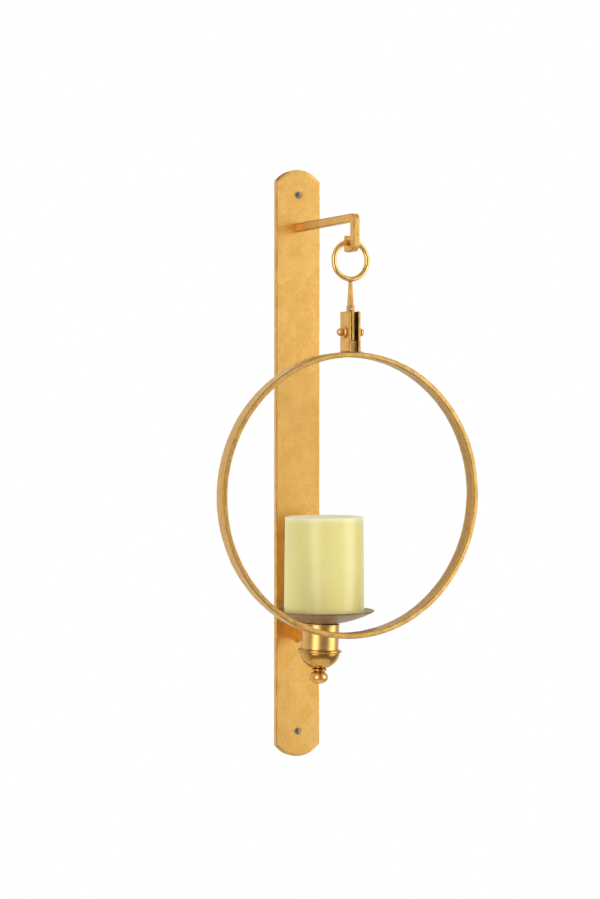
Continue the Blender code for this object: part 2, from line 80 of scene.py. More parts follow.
Feed = Union[Socket, float, Sequence[float]]


# ---------------------------------------------------------------- outlines and skins


class Axis(Enum):
    """Direction that a turned piece is turned about."""

    X = "x"
    Y = "y"
    Z = "z"

    def point(self, a: float, b: float, along: float) -> Vector:
        """Returns the point at (a, b) across the axis and `along` it."""
        return Vector({Axis.X: (along, a, b), Axis.Y: (a, along, b), Axis.Z: (a, b, along)}[self])


def arc(centre: Pair, radius: float, start: float, end: float, steps: int) -> list[Pair]:
    """Points of an arc.

    Args:
        centre: Middle of the arc.
        radius: Its radius.
        start: First angle, degrees.
        end: Last angle, degrees.
        steps: Number of chords.

    Returns:
        steps + 1 points from start to end.
    """
    angles = [math.radians(start + (end - start) * i / steps) for i in range(steps + 1)]
    return [(centre[0] + radius * math.cos(a), centre[1] + radius * math.sin(a)) for a in angles]


def between(low: float, high: float, count: int) -> list[float]:
    """Returns `count` even steps strictly between two values."""
    return [low + (high - low) * (i + 1) / (count + 1) for i in range(count)]


def bar_section(width: float, depth: float, corner: float, across: int = 3, along: int = 3) -> list[Pair]:
    """Rounded rectangle about the origin, with a close row of points beside each corner.

    Args:
        width: Size along the first axis.
        depth: Size along the second axis.
        corner: Corner radius.
        across: Extra points on each side along the first axis.
        along: Extra points on each side along the second axis.

    Returns:
        Closed loop of points, anticlockwise.
    """
    x, y = width / 2 - corner, depth / 2 - corner
    guard, most, chords = 0.6 * corner, 0.2, 4
    loop: list[Pair] = []
    for turn, (cx, cy) in enumerate(((x, y), (-x, y), (-x, -y), (x, -y))):
        loop += arc((cx, cy), corner, 90 * turn, 90 * turn + 90, chords)
        end = loop[-1]
        nxt = ((-x, y + corner), (-x - corner, -y), (x, -y - corner), (x + corner, y))[turn]
        span = math.dist(end, nxt)
        edge = min(guard / span, most) if span > 1e-9 else most
        stops = [edge] + between(edge, 1 - edge, across if turn % 2 == 0 else along) + [1 - edge]
        loop += [(end[0] + (nxt[0] - end[0]) * t, end[1] + (nxt[1] - end[1]) * t) for t in stops]
    return loop


def link(name: str, data: bpy.types.ID) -> Piece:
    """Makes an object for a mesh, lamp or camera and links it to the scene.

    Args:
        name: Name of the new object.
        data: What it shows.

    Returns:
        The new object.
    """
    piece = bpy.data.objects.new(name, data)
    bpy.context.scene.collection.objects.link(piece)
    return piece


def shade(piece: Piece, sharp: float = 40.0) -> Piece:
    """Turns the faces outward and shades them smooth.

    Args:
        piece: Piece to shade.
        sharp: Angle from which an edge is kept crisp, degrees.

    Returns:
        The same piece.
    """
    work = bmesh.new()
    work.from_mesh(piece.data)
    bmesh.ops.recalc_face_normals(work, faces=work.faces)
    work.to_mesh(piece.data)
    work.free()
    piece.data.shade_smooth()
    piece.data.set_sharp_from_angle(angle=math.radians(sharp))
    return piece


def finished(name: str, work: bmesh.types.BMesh) -> Piece:
    """Turns a mesh in work into a shaded piece.

    Args:
        name: Name of the new piece.
        work: Its mesh, which is freed.

    Returns:
        The new piece.
    """
    mesh = bpy.data.meshes.new(name)
    work.to_mesh(mesh)
    work.free()
    return shade(link(name, mesh))


def skin(name: str, loops: Sequence[Sequence[Vector]]) -> Piece:
    """Closed skin over equal loops of points, with a face at both ends.

    Args:
        name: Name of the new piece.
        loops: Loops, each with the same number of points.

    Returns:
        The new piece.
    """
    work = bmesh.new()
    rows = [[work.verts.new(p) for p in loop] for loop in loops]
    for low, high in zip(rows, rows[1:]):
        for i in range(len(low)):
            j = (i + 1) % len(low)
            work.faces.new((low[i], low[j], high[j], high[i]))
    work.faces.new(rows[0][::-1])
    work.faces.new(rows[-1])
    return finished(name, work)


def turned(
    name: str,
    profile: Sequence[Pair],
    centre: Vector,
    axis: Axis = Axis.Z,
    steps: int = 96,
    closed: bool = False,
    waver: Optional[Callable[[float, float, float], float]] = None,
) -> Piece:
    """Lathe-turned piece.

    Args:
        name: Name of the new piece.
        profile: (radius, height) points; a radius of nought is a point on the axis.
        centre: Place of the profile's origin.
        axis: Axis that the profile is swept about.
        steps: Points round the axis.
        closed: True where the profile is a loop that stays off the axis.
        waver: Gives the radius from (radius, height, angle) where the piece isn't truly round.

    Returns:
        The new piece.
    """
    work = bmesh.new()
    rows = []
    for radius, height in profile:
        if radius < 1e-9:
            rows.append([work.verts.new(centre + axis.point(0, 0, height))])
            continue
        row = []
        for i in range(steps):
            angle = 2 * math.pi * i / steps
            reach = waver(radius, height, angle) if waver else radius
            place = axis.point(reach * math.cos(angle), reach * math.sin(angle), height)
            row.append(work.verts.new(centre + place))
        rows.append(row)
    for low, high in zip(rows, rows[1:] + (rows[:1] if closed else [])):
        for i in range(steps):
            j = (i + 1) % steps
            corners = [low[i % len(low)], low[j % len(low)], high[j % len(high)], high[i % len(high)]]
            face = list(dict.fromkeys(corners))
            if len(face) > 2:
                work.faces.new(face)
    return finished(name, work)


def carve(piece: Piece, cutters: Sequence[Piece]) -> Piece:
    """Cuts closed shapes out of a piece and deletes the shapes.

    Args:
        piece: Piece to cut.
        cutters: Shapes to cut out of it.

    Returns:
        The same piece.
    """
    for cutter in cutters:
        cut = piece.modifiers.new("cut", "BOOLEAN")
        cut.operation = "DIFFERENCE"
        cut.solver = "EXACT"
        cut.object = cutter
    bpy.context.view_layer.update()
    evaluated = piece.evaluated_get(bpy.context.evaluated_depsgraph_get())
    mesh = bpy.data.meshes.new_from_object(evaluated)
    piece.modifiers.clear()
    piece.data = mesh
    for cutter in cutters:
        bpy.data.objects.remove(cutter, do_unlink=True)
    return shade(piece)


def forged(piece: Piece, amount: float, size: float, seed: int) -> Piece:
    """Moves the surface in and out by a soft unevenness, as hammer and file leave it.

    Args:
        piece: Piece to change.
        amount: Largest move, metres.
        size: Size of the unevenness, metres.
        seed: Picks the pattern.

    Returns:
        The same piece.
    """
    shift = Vector([seed * step for step in PATTERN_STEPS])
    mesh = piece.data
    moves = [vertex.normal * amount * noise.noise(vertex.co / size + shift) for vertex in mesh.vertices]
    for vertex, move in zip(mesh.vertices, moves):
        vertex.co += move
    mesh.update()
    return piece


def mark_edges(piece: Piece, reach: float = 1.15 * MM, turn: float = 17.0) -> None:
    """Stores how near each point is to a sharp edge, as the attribute `rub`.

    Args:
        piece: Piece to mark.
        reach: Distance at which the mark has faded out.
        turn: Angle between two faces that counts as an edge, degrees.
    """
    work = bmesh.new()
    work.from_mesh(piece.data)
    sharp = set()
    for edge in work.edges:
        if len(edge.link_faces) == 2 and edge.calc_face_angle() > math.radians(turn):
            sharp.update(vertex.index for vertex in edge.verts)
    tree = kdtree.KDTree(max(1, len(sharp)))
    work.verts.ensure_lookup_table()
    for index in sorted(sharp):
        tree.insert(work.verts[index].co, index)
    tree.balance()
    rub = piece.data.attributes.new("rub", "FLOAT", "POINT")
    for index, vertex in enumerate(work.verts):
        near = tree.find(vertex.co)[2] if sharp else None
        rub.data[index].value = 0.0 if near is None else max(0.0, 1 - near / reach)
    work.free()


def mark_painted_shading(piece: Piece, inside: Callable[[Vector], bool], amount: float = 1.0) -> None:
    """Stores where light or shade is painted onto a piece, as a point attribute.

    Args:
        piece: Piece in place.
        inside: Tells whether a point lies in such an area.
        amount: How strong the painted light or shade is there, 0 to 1.
    """
    painted_shading = piece.data.attributes.new("painted_shading", "FLOAT", "POINT")
    for vertex in piece.data.vertices:
        painted_shading.data[vertex.index].value = amount if inside(vertex.co) else 0.0


# ---------------------------------------------------------------- finishes


class Blend(Enum):
    """How values are combined into one."""

    SUM = "ADD"
    PRODUCT = "MULTIPLY"
    HIGHEST = "MAXIMUM"


def feed(tree: bpy.types.NodeTree, target: Socket, value: Feed) -> None:
    """Links a socket to an input, or sets the input to a fixed value.

    Args:
        tree: Node tree of both.
        target: Input to feed.
        value: Socket, number or colour.
    """
    if isinstance(value, Socket):
        tree.links.new(value, target)
    else:
        target.default_value = value


def ramp(tree: bpy.types.NodeTree, value: Feed, *ends: float) -> Socket:
    """Maps a value smoothly from one range to another.

    Args:
        tree: Node tree to work in.
        value: Value to map.
        *ends: Lower and upper end of its range, then of the new range if that isn't 0 to 1.

    Returns:
        The mapped value's socket.
    """
    node = tree.nodes.new("ShaderNodeMapRange")
    node.interpolation_type = "SMOOTHSTEP"
    for name, stop in zip(("Value", "From Min", "From Max", "To Min", "To Max"), (value, *ends)):
        feed(tree, node.inputs[name], stop)
    return node.outputs["Result"]


def combine(tree: bpy.types.NodeTree, blend: Blend, first: Socket, *others: Feed) -> Socket:
    """Combines a value with others, one after another.

    Args:
        tree: Node tree to work in.
        blend: How two values make one.
        first: First value.
        *others: Sockets or numbers.

    Returns:
        The result's socket.
    """
    for other in others:
        node = tree.nodes.new("ShaderNodeMath")
        node.operation = blend.value
        feed(tree, node.inputs[0], first)
        feed(tree, node.inputs[1], other)
        first = node.outputs["Value"]
    return first


def part(tree: bpy.types.NodeTree, vector: Socket, axis: Axis) -> Socket:
    """Takes one part of a vector.

    Args:
        tree: Node tree to work in.
        vector: Socket of the vector.
        axis: Direction of the part.

    Returns:
        The part's socket.
    """
    split = tree.nodes.new("ShaderNodeSeparateXYZ")
    feed(tree, split.inputs["Vector"], vector)
    return split.outputs[axis.name]


@dataclass(frozen=True)
class Pattern:
    """Noise with features of a size in metres, and the ranges that it is mapped from and to."""

    size: float
    detail: float = 3.0
    warp: float = 0.0
    ends: tuple[float, ...] = (0.3, 0.7)
    stretch: tuple[float, float, float] = (1, 1, 1)


class Palette:
    """Small helper that wires the nodes of one material."""

    def __init__(self, name: str) -> None:
        """Starts a material with a Principled shader in the piece's own coordinates.

        Args:
            name: Name of the material.
        """
        self.material = bpy.data.materials.new(name)
        self.material.use_nodes = True
        self.tree = self.material.node_tree
        self.shader = self.tree.nodes["Principled BSDF"]
        self.place = self.tree.nodes.new("ShaderNodeTexCoord").outputs["Object"]

    def put(self, **values: Feed) -> None:
        """Feeds inputs of the shader, their names written with _ for a space."""
        for name, value in values.items():
            feed(self.tree, self.shader.inputs[name.replace("_", " ")], value)

    def grain(self, pattern: Pattern) -> Socket:
        """Makes a pattern's noise, before it is mapped.

        Args:
            pattern: Pattern to make.

        Returns:
            The noise value's socket.
        """
        scale = self.tree.nodes.new("ShaderNodeMapping")
        scale.inputs["Scale"].default_value = [1 / (pattern.size * s) for s in pattern.stretch]
        feed(self.tree, scale.inputs["Vector"], self.place)
        node = self.tree.nodes.new("ShaderNodeTexNoise")
        for name, value in (("Scale", 1.0), ("Detail", pattern.detail), ("Distortion", pattern.warp),
                            ("Vector", scale.outputs["Vector"])):
            feed(self.tree, node.inputs[name], value)
        return node.outputs["Fac"]

    def spread(self, pattern: Pattern) -> Socket:
        """Returns a pattern's mapped value."""
        return ramp(self.tree, self.grain(pattern), *pattern.ends)

    def times(self, first: Socket, *others: Feed) -> Socket:
        """Returns the product of values."""
        return combine(self.tree, Blend.PRODUCT, first, *others)

    def mix(self, factor: Socket, first: Feed, second: Feed) -> Socket:
        """Mixes two colours.

        Args:
            factor: Share of the second colour.
            first: Socket or (r, g, b).
            second: Socket or (r, g, b).

        Returns:
            The mixed colour's socket.
        """
        node = self.tree.nodes.new("ShaderNodeMix")
        node.data_type = "RGBA"
        feed(self.tree, node.inputs["Factor"], factor)
        # the colour inputs of this node come sixth and seventh, and its colour output second
        for colour, target in ((first, node.inputs[6]), (second, node.inputs[7])):
            feed(self.tree, target, colour if isinstance(colour, Socket) else (*colour, 1.0))
        return node.outputs[2]

    def stored(self, name: str) -> Socket:
        """Reads a value that is stored on the piece's points, nought where there is none.

        Args:
            name: Name of the attribute.

        Returns:
            The value's socket.
        """
        node = self.tree.nodes.new("ShaderNodeAttribute")
        node.attribute_name = name
        return node.outputs["Fac"]

    def relief(self, *layers: tuple[Socket, float, float]) -> None:
        """Stacks bumps on the shader's normal.

        Args:
            *layers: (height, strength, depth in metres) of each bump, the first one undermost.
        """
        before = None
        for height, strength, depth in layers:
            node = self.tree.nodes.new("ShaderNodeBump")
            for name, value in (("Strength", strength), ("Distance", depth), ("Height", height),
                                ("Normal", before)):
                if value is not None:
                    feed(self.tree, node.inputs[name], value)
            before = node.outputs["Normal"]
        self.put(Normal=before)


@dataclass(frozen=True)
class Finish:
    """Finish of a piece, and the material slot of the record that it fills."""

    name: str
    slot: str

    def paint(self, p: Palette) -> None:
        """Wires the finish's colour, roughness and relief."""
        raise NotImplementedError

    def material(self) -> bpy.types.Material:
        """Gives the finish's material, which is built the first time.

        Returns:
            The material.
        """
        known = bpy.data.materials.get(self.name)
        if known is None:
            palette = Palette(self.name)
            self.paint(palette)
            known = palette.material
        return known


FLECKS = Pattern(0.42 * MM, 2, ends=(0.58, 0.74))
PATCHES = Pattern(7 * MM, 4, ends=(0.35, 0.70, 0.35, 1.0))
DARK_SPECKS = Pattern(1.3 * MM, 2, 0.3, ends=(0.715, 0.76))
WEAR = Pattern(14 * MM, 5, 0.4, ends=(0.30, 0.66, 0.30, 1.0))
SPECK_COLOUR = (0.05, 0.025, 0.01)


@dataclass(frozen=True)
class GoldFinish(Finish):
    """Gold over iron, browned along its edges and finely speckled."""

    light: Colour
    deep: Colour
    edge: Colour
    rough: Pair
    speckle: float
    mottle_size: float
    bump: float
    brushed: bool = False
    specks: float = 0.8
    rubbed: float = 0.5
    rubbed_rough: float = 0.12
    varnish: float = 0.35
    fine_size: float = 0.9 * MM
    # colour of the painted shade that marked areas are mixed towards
    painted_shading: Colour = (0.10, 0.035, 0.012)

    def paint(self, p: Palette) -> None:
        """Wires mottled gold with flecks, dark specks, rubbed edges and painted shade in marked areas.

        Args:
            p: Palette of the new material.
        """
        mottle = p.spread(Pattern(self.mottle_size, 6, 0.6, ends=(0.32, 0.68)))
        fine = p.spread(Pattern(self.fine_size))
        tone = p.mix(p.times(combine(p.tree, Blend.SUM, mottle, fine), 0.5), self.deep, self.light)
        tone = p.mix(p.times(p.spread(FLECKS), p.spread(PATCHES), self.speckle), tone, self.edge)
        tone = p.mix(p.times(p.spread(DARK_SPECKS), self.specks), tone, SPECK_COLOUR)
        worn = p.times(ramp(p.tree, p.stored("rub"), 0.10, 1.0), p.spread(WEAR))
        tone = p.mix(p.times(worn, self.rubbed), tone, self.edge)
        rough = p.spread(Pattern(3.2 * MM, 5, ends=(0.30, 0.70, *self.rough)))
        p.put(
            # painted shade: marked areas of the piece are darkened towards the painted shade colour
            Base_Color=p.mix(p.stored("painted_shading"), tone, self.painted_shading),
            Roughness=combine(p.tree, Blend.SUM, rough, p.times(worn, self.rubbed_rough)),
            Metallic=1.0, Coat_Weight=self.varnish, Coat_Roughness=self.rough[1],
        )
        layers = [
            (p.grain(Pattern(5.5 * MM, 3)), 0.10 * self.bump, 0.6 * MM),
            (p.grain(Pattern(0.8 * MM, 4)), 0.35 * self.bump, 0.08 * MM),
        ]
        if self.brushed:
            layers.append((p.grain(Pattern(0.35 * MM, 2, stretch=(40, 40, 1))), 0.25, 0.03 * MM))
        p.relief(*layers)


@dataclass(frozen=True)
class WaxFinish(Finish):
    """Smooth dyed wax with a soft sheen, with painted light round its rim, on its top and in its well."""

    body: Colour
    warm: Colour
    # colour of the painted light on the wax
    pale: Colour
    rim_z: float
    rough: Pair = (0.28, 0.31)
    sheen: float = 0.48
    glow: float = 0.15
    depth: float = 6 * MM
    tint: Colour = (1.0, 0.8, 0.35)

    def paint(self, p: Palette) -> None:
        """Wires cloudy wax with painted light, paler towards the rim, where it faces up and in marked areas.

        Args:
            p: Palette of the new material.
        """
        tone = p.mix(p.spread(Pattern(38 * MM, 3, 0.5, ends=(0.28, 0.72))), self.body, self.warm)
        uneven = p.times(p.grain(Pattern(9 * MM)), 4 * MM)
        height = combine(p.tree, Blend.SUM, part(p.tree, p.place, Axis.Z), uneven)
        # painted light: the wax is paled near the rim, on faces that point up and in marked areas, as if lit
        # from above
        rim = ramp(p.tree, height, self.rim_z - 4.5 * MM, self.rim_z + 1.0 * MM, 0.0, 0.85)
        facing = p.tree.nodes.new("ShaderNodeNewGeometry").outputs["Normal"]
        level = ramp(p.tree, part(p.tree, facing, Axis.Z), 0.15, 0.75, 0.0, 0.7)
        pale = combine(p.tree, Blend.HIGHEST, rim, level, p.stored("painted_shading"))
        p.put(
            Base_Color=p.mix(pale, tone, self.pale),
            Roughness=p.spread(Pattern(20 * MM, ends=(0.3, 0.7, *self.rough))),
            Subsurface_Weight=self.glow, Subsurface_Radius=self.tint, Subsurface_Scale=self.depth,
            Specular_IOR_Level=self.sheen,
        )
        p.relief((p.grain(Pattern(30 * MM, 0)), 0.10, 0.5 * MM))


@dataclass(frozen=True)
class PlainMetal(Finish):
    """Bare or plated metal, dulled unevenly."""

    bright: Colour
    dull: Colour
    rough: Pair
    rubbed: float = 0.35

    def paint(self, p: Palette) -> None:
        """Wires stained metal that is brighter along its edges.

        Args:
            p: Palette of the new material.
        """
        tone = p.mix(p.spread(Pattern(2.2 * MM, 5, 0.5, ends=(0.32, 0.68))), self.bright, self.dull)
        p.put(
            Base_Color=p.mix(p.times(p.stored("rub"), self.rubbed), tone, self.bright),
            Roughness=p.spread(Pattern(1.1 * MM, 4, ends=(0.3, 0.7, *self.rough))),
            Metallic=1.0,
        )
        p.relief((p.grain(Pattern(0.5 * MM)), 0.15, 0.05 * MM))


@dataclass(frozen=True)
class CottonFinish(Finish):
    """Waxed cotton yarn."""

    pale: Colour
    shadow: Colour
    rough: Pair = (0.70, 0.92)
    sheen: float = 0.3

    def paint(self, p: Palette) -> None:
        """Wires fibres that run along the yarn.

        Args:
            p: Palette of the new material.
        """
        fibre = p.spread(Pattern(0.25 * MM, 4, 1.5, stretch=(1, 1, 4)))
        p.put(
            Base_Color=p.mix(fibre, self.shadow, self.pale),
            Roughness=ramp(p.tree, fibre, 0.0, 1.0, *self.rough),
            Sheen_Weight=self.sheen,
        )
        p.relief((fibre, 0.5, 0.1 * MM))


GOLD_LEAF = GoldFinish(
    "antique_gold_leaf", "gold_leaf",
    light=(0.86, 0.53, 0.15), deep=(0.74, 0.40, 0.085), edge=(0.22, 0.085, 0.02),
    rough=(0.36, 0.50), speckle=0.45, mottle_size=13 * MM, bump=1.0, fine_size=1.8 * MM,
)
BURNISHED_LEAF = GoldFinish(
    "burnished_gold_leaf", "gold_leaf",
    light=(0.87, 0.56, 0.19), deep=(0.76, 0.43, 0.11), edge=(0.22, 0.085, 0.02),
    rough=(0.29, 0.36), speckle=0.15, mottle_size=9 * MM, bump=0.12, varnish=0.3,
)
# gold leaf for the hoop; its olive colour for marked areas is a painted reflection on the inner face
HOOP_LEAF = GoldFinish(
    "rubbed_hoop_leaf_painted_reflection", "gold_leaf",
    light=(0.77, 0.475, 0.135), deep=(0.60, 0.335, 0.075), edge=(0.20, 0.085, 0.02),
    rough=(0.36, 0.48), speckle=0.40, mottle_size=8 * MM, bump=0.5,
    fine_size=1.8 * MM, painted_shading=(0.20, 0.14, 0.05),
)
TURNED_GOLD = GoldFinish(
    "satin_turned_gold", "bright_gold",
    light=(0.83, 0.49, 0.165), deep=(0.70, 0.37, 0.085), edge=(0.22, 0.09, 0.02),
    rough=(0.33, 0.38), speckle=0.15, mottle_size=9 * MM, bump=0.12, brushed=True, varnish=0.35,
)
AGED_GOLD = GoldFinish(
    "aged_turned_gold", "bright_gold",
    light=(0.74, 0.42, 0.095), deep=(0.50, 0.25, 0.035), edge=(0.17, 0.07, 0.015),
    rough=(0.19, 0.27), speckle=0.4, mottle_size=7 * MM, bump=0.22, varnish=0.3,
)
PAN_WASH = GoldFinish(
    "taupe_gold_wash", "pan_bronze",
    light=(0.45, 0.32, 0.19), deep=(0.32, 0.22, 0.13), edge=(0.15, 0.08, 0.035),
    rough=(0.40, 0.52), speckle=0.30, mottle_size=15 * MM, bump=0.8, varnish=0.2,
)
PLATED_STEEL = PlainMetal(
    "zinc_plated_steel", "steel",
    bright=(0.42, 0.41, 0.43), dull=(0.14, 0.13, 0.13), rough=(0.20, 0.34),
)
SOLDER = PlainMetal(
    "grey_solder", "gold_leaf",
    bright=(0.50, 0.44, 0.34), dull=(0.30, 0.24, 0.16), rough=(0.38, 0.55),
)
COTTON = CottonFinish("waxed_cotton", "cotton", pale=(0.86, 0.82, 0.70), shadow=(0.55, 0.50, 0.38))


# ---------------------------------------------------------------- sub-assemblies


@dataclass
class SubAssembly:
    """Pieces that move together."""

    body: str

    def dress(self, piece: Piece, finish: Finish, *nodes: str) -> None:
        """Gives a piece its finish and its body, and lets it stand for frame nodes.

        Args:
            piece: Piece that is ready and in place.
            finish: Finish that it takes.
            *nodes: Frame nodes that the piece stands for.
        """
        if "rub" not in piece.data.attributes:
            mark_edges(piece)
        piece.data.materials.clear()
        piece.data.materials.append(finish.material())
        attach(piece, self.body)
        if nodes:
            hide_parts(*nodes)
        LOG.info("%s on %s: %d faces", piece.name, self.body, len(piece.data.polygons))

    def bead(self, name: str, centre: Vector, size: Vector, seed: int, finish: Finish = GOLD_LEAF) -> None:
        """Adds a small uneven lump of weld or solder.

        Args:
            name: Name of the piece.
            centre: Middle of the lump.
            size: Half its size along X, Y and Z.
            seed: Picks its unevenness.
            finish: Finish that it takes.
        """
        uneven, fineness = 0.22, 1.7
        rise = [(math.cos(a), math.sin(a)) for a in (math.radians(-90 + 15 * i) for i in range(13))]
        piece = turned(name, [(c if c > 1e-6 else 0.0, s) for c, s in rise], Vector(), steps=24)
        for vertex in piece.data.vertices:
            vertex.co *= 1 + uneven * noise.noise(vertex.co * fineness + Vector((seed, 0, 0)))
            vertex.co = centre + Vector(a * b for a, b in zip(vertex.co, size))
        self.dress(shade(piece), finish)


@dataclass
class WallBar(SubAssembly):
    """Back plate and the two screws in it."""

    arch: float = 12.5 * MM
    edge: float = 0.8 * MM
    sink_r: float = 3.5 * MM
    hole_r: float = 2.4 * MM
    sink_depth: float = 2.6 * MM
    arch_from: float = 0.86
    rows: int = 150
    box: Box = field(default_factory=lambda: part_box("back_plate"))

    def drop(self, x: float) -> float:
        """Works out how far the arched end lies below its crown.

        Args:
            x: Distance from the middle of the plate.

        Returns:
            The drop there.
        """
        half = self.box[1].x
        radius = (half ** 2 + self.arch ** 2) / (2 * self.arch)
        return radius - math.sqrt(radius ** 2 - x ** 2)

    def loop(self, share: float, inset: float = 0.0) -> list[Vector]:
        """One cross loop of the plate.

        Args:
            share: Height as a share of the half height, -1 to 1.
            inset: How far the loop is drawn in where an end is rounded off.

        Returns:
            Points in order round the plate.
        """
        lo, hi = self.box
        points = []
        pull = self.edge * (1 - math.sqrt(1 - (inset / self.edge) ** 2))
        follow = max(0.0, (abs(share) - self.arch_from) / (1 - self.arch_from)) ** 1.4
        for x, y in bar_section(hi.x - lo.x, hi.y - lo.y, self.edge, across=13, along=1):
            x = min(max(x, lo.x + inset), hi.x - inset)
            y = min(max(y, inset - (hi.y - lo.y) / 2), (hi.y - lo.y) / 2 - inset)
            side = math.copysign(1, share)
            z = share * hi.z - side * (self.drop(x) * follow + pull)
            points.append(Vector((x, (lo.y + hi.y) / 2 + y, z)))
        return points

    def build(self) -> None:
        """Builds the plate and its screws."""
        rounding, last = between(0, self.edge, 3), 0.995
        loops = [self.loop(-1, inset) for inset in rounding[::-1]]
        loops += [self.loop(-last + 2 * last * i / self.rows) for i in range(self.rows + 1)]
        loops += [self.loop(1, inset) for inset in rounding]
        plate = skin("gilt_back_plate", loops)
        screws = (("top_wall_screw", 28), ("bottom_wall_screw", -15))
        plate = carve(plate, [self.sink((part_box(node)[0].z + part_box(node)[1].z) / 2) for node, _ in screws])
        self.dress(forged(plate, amount=0.10 * MM, size=22 * MM, seed=3), GOLD_LEAF, "back_plate")
        for node, turn in screws:
            self.screw(node, turn)

    def sink(self, z: float) -> Piece:
        """Makes the cutter for one countersunk hole.

        Args:
            z: Height of the hole.

        Returns:
            The cutter.
        """
        lo, hi = self.box
        past = 1 * MM
        profile = [
            (0, -past), (self.sink_r + past, -past), (self.sink_r, 0), (self.sink_r - 0.2 * MM, 0.3 * MM),
            (self.hole_r, self.sink_depth), (self.hole_r, hi.y - lo.y + past), (0, hi.y - lo.y + past),
        ]
        return turned("sink", profile, Vector((0, lo.y, z)), Axis.Y, steps=48)

    def screw(self, node: str, turn: float) -> None:
        """Builds a countersunk screw with a cross recess.

        Args:
            node: Frame node that it stands for.
            turn: Angle that the recess is turned to, degrees.
        """
        lo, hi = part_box(node)
        head = (hi.x - lo.x) / 2
        shank = 2 * MM
        length = hi.y - lo.y
        profile = [(0, 0), (head * 0.55, 0.02 * MM), (head - 0.25 * MM, 0.10 * MM), (head, 0.35 * MM),
                   (head, 0.5 * MM), (shank, 2.2 * MM), (shank, length), (0, length)]
        centre = Vector((0, lo.y, (lo.z + hi.z) / 2))
        piece = turned("zinc_" + node, profile, centre, Axis.Y, steps=48)
        slots = []
        corners = ((-1, -1), (1, -1), (1, 1), (-1, 1))
        mouth, bottom = (-0.3 * MM, 0.72 * head, 0.42 * MM), (1.5 * MM, 0.22 * head, 0.28 * MM)
        for angle in (turn, turn + 90):
            spin = Matrix.Rotation(math.radians(angle), 3, "Y")
            loops = []
            for depth, reach, half in (mouth, bottom):
                loops.append([centre + spin @ Vector((x * reach, depth, y * half)) for x, y in corners])
            slots.append(skin("recess", loops))
        self.dress(carve(piece, slots), PLATED_STEEL, node)


@dataclass
class HookArm(SubAssembly):
    """Square bar out from the plate, down, and up again in a forged hook."""

    thick: float = 8 * MM
    elbow: float = 6 * MM
    edge: float = 0.9 * MM
    floor: float = 7 * MM
    tip: float = 5 * MM
    tip_rise: float = 16.5 * MM
    mouth: float = 8.6 * MM
    toe: float = 8.5 * MM
    root_sink: float = 1.4 * MM
    root_thick: float = 8.8 * MM
    box: Box = field(default_factory=lambda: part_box("hook_arm"))

    def stations(self) -> list[tuple[Pair, Pair]]:
        """Traces the bar from the plate to its tip.

        Returns:
            Matching (outer, inner) points along the bar, as (y, z).
        """
        lo, hi = self.box
        back, front, top, under = hi.y + 0.3 * MM, lo.y, hi.z, lo.z
        inner_y = front + self.thick
        foot = top - self.thick
        crook = under + self.floor
        tip_front = inner_y + self.mouth
        tip_back = tip_front + self.tip
        small, toe, heel, bend = 0.9 * MM, self.toe, 3 * MM, 2 * MM
        run_end = front + self.elbow + 3 * MM
        pairs = []
        for y in [back] + between(back, run_end, 46):
            rest = (y - run_end) / (back - run_end)
            high = top - self.root_sink * rest
            low = foot - (self.root_sink + self.root_thick - self.thick) * rest
            pairs.append(((y, high), (y, low)))
        pairs += zip(arc((front + self.elbow, top - self.elbow), self.elbow, 90, 180, 10),
                     arc((inner_y + small, foot - small), small, 90, 180, 10))
        pairs += [((front, z), (inner_y, z)) for z in between(foot - small, crook + bend, 9)]
        pairs += zip(arc((front + toe, under + toe), toe, 180, 270, 8),
                     arc((inner_y + bend, crook + bend), bend, 180, 270, 8))
        pairs += [((y, under), (y, crook)) for y in between(inner_y + bend, tip_front - bend, 3)]
        pairs += zip(arc((tip_back - heel, under + heel), heel, 270, 360, 8),
                     arc((tip_front - bend, crook + bend), bend, 270, 360, 8))
        half = self.tip / 2
        crown = under + self.tip_rise - half
        pairs += [((tip_back, z), (tip_front, z)) for z in between(crook + bend, crown, 5)]
        for turn in between(0, 90, 7):
            reach, rise = half * math.cos(math.radians(turn)), half * math.sin(math.radians(turn))
            middle = tip_front + half
            pairs.append(((middle + reach, crown + rise), (middle - reach, crown + rise)))
        return pairs

    def build(self) -> None:
        """Builds the bar."""
        lo, hi = self.box
        width = hi.x - lo.x
        thinnest = 1.2 * MM
        loops = []
        for outer, inner in self.stations():
            thick = math.dist(outer, inner)
            corner = min(self.edge, 0.32 * thick)
            middle = Vector((0, (outer[0] + inner[0]) / 2, (outer[1] + inner[1]) / 2))
            across = Vector((0, outer[0] - inner[0], outer[1] - inner[1])).normalized()
            section = bar_section(width, max(thick, thinnest), corner)
            loops.append([middle + Vector((x, 0, 0)) + across * (y * thick / max(thick, thinnest))
                          for x, y in section])
        arm = skin("gilt_hook_arm", loops)
        self.dress(forged(arm, amount=0.16 * MM, size=9 * MM, seed=5), GOLD_LEAF, "hook_arm")


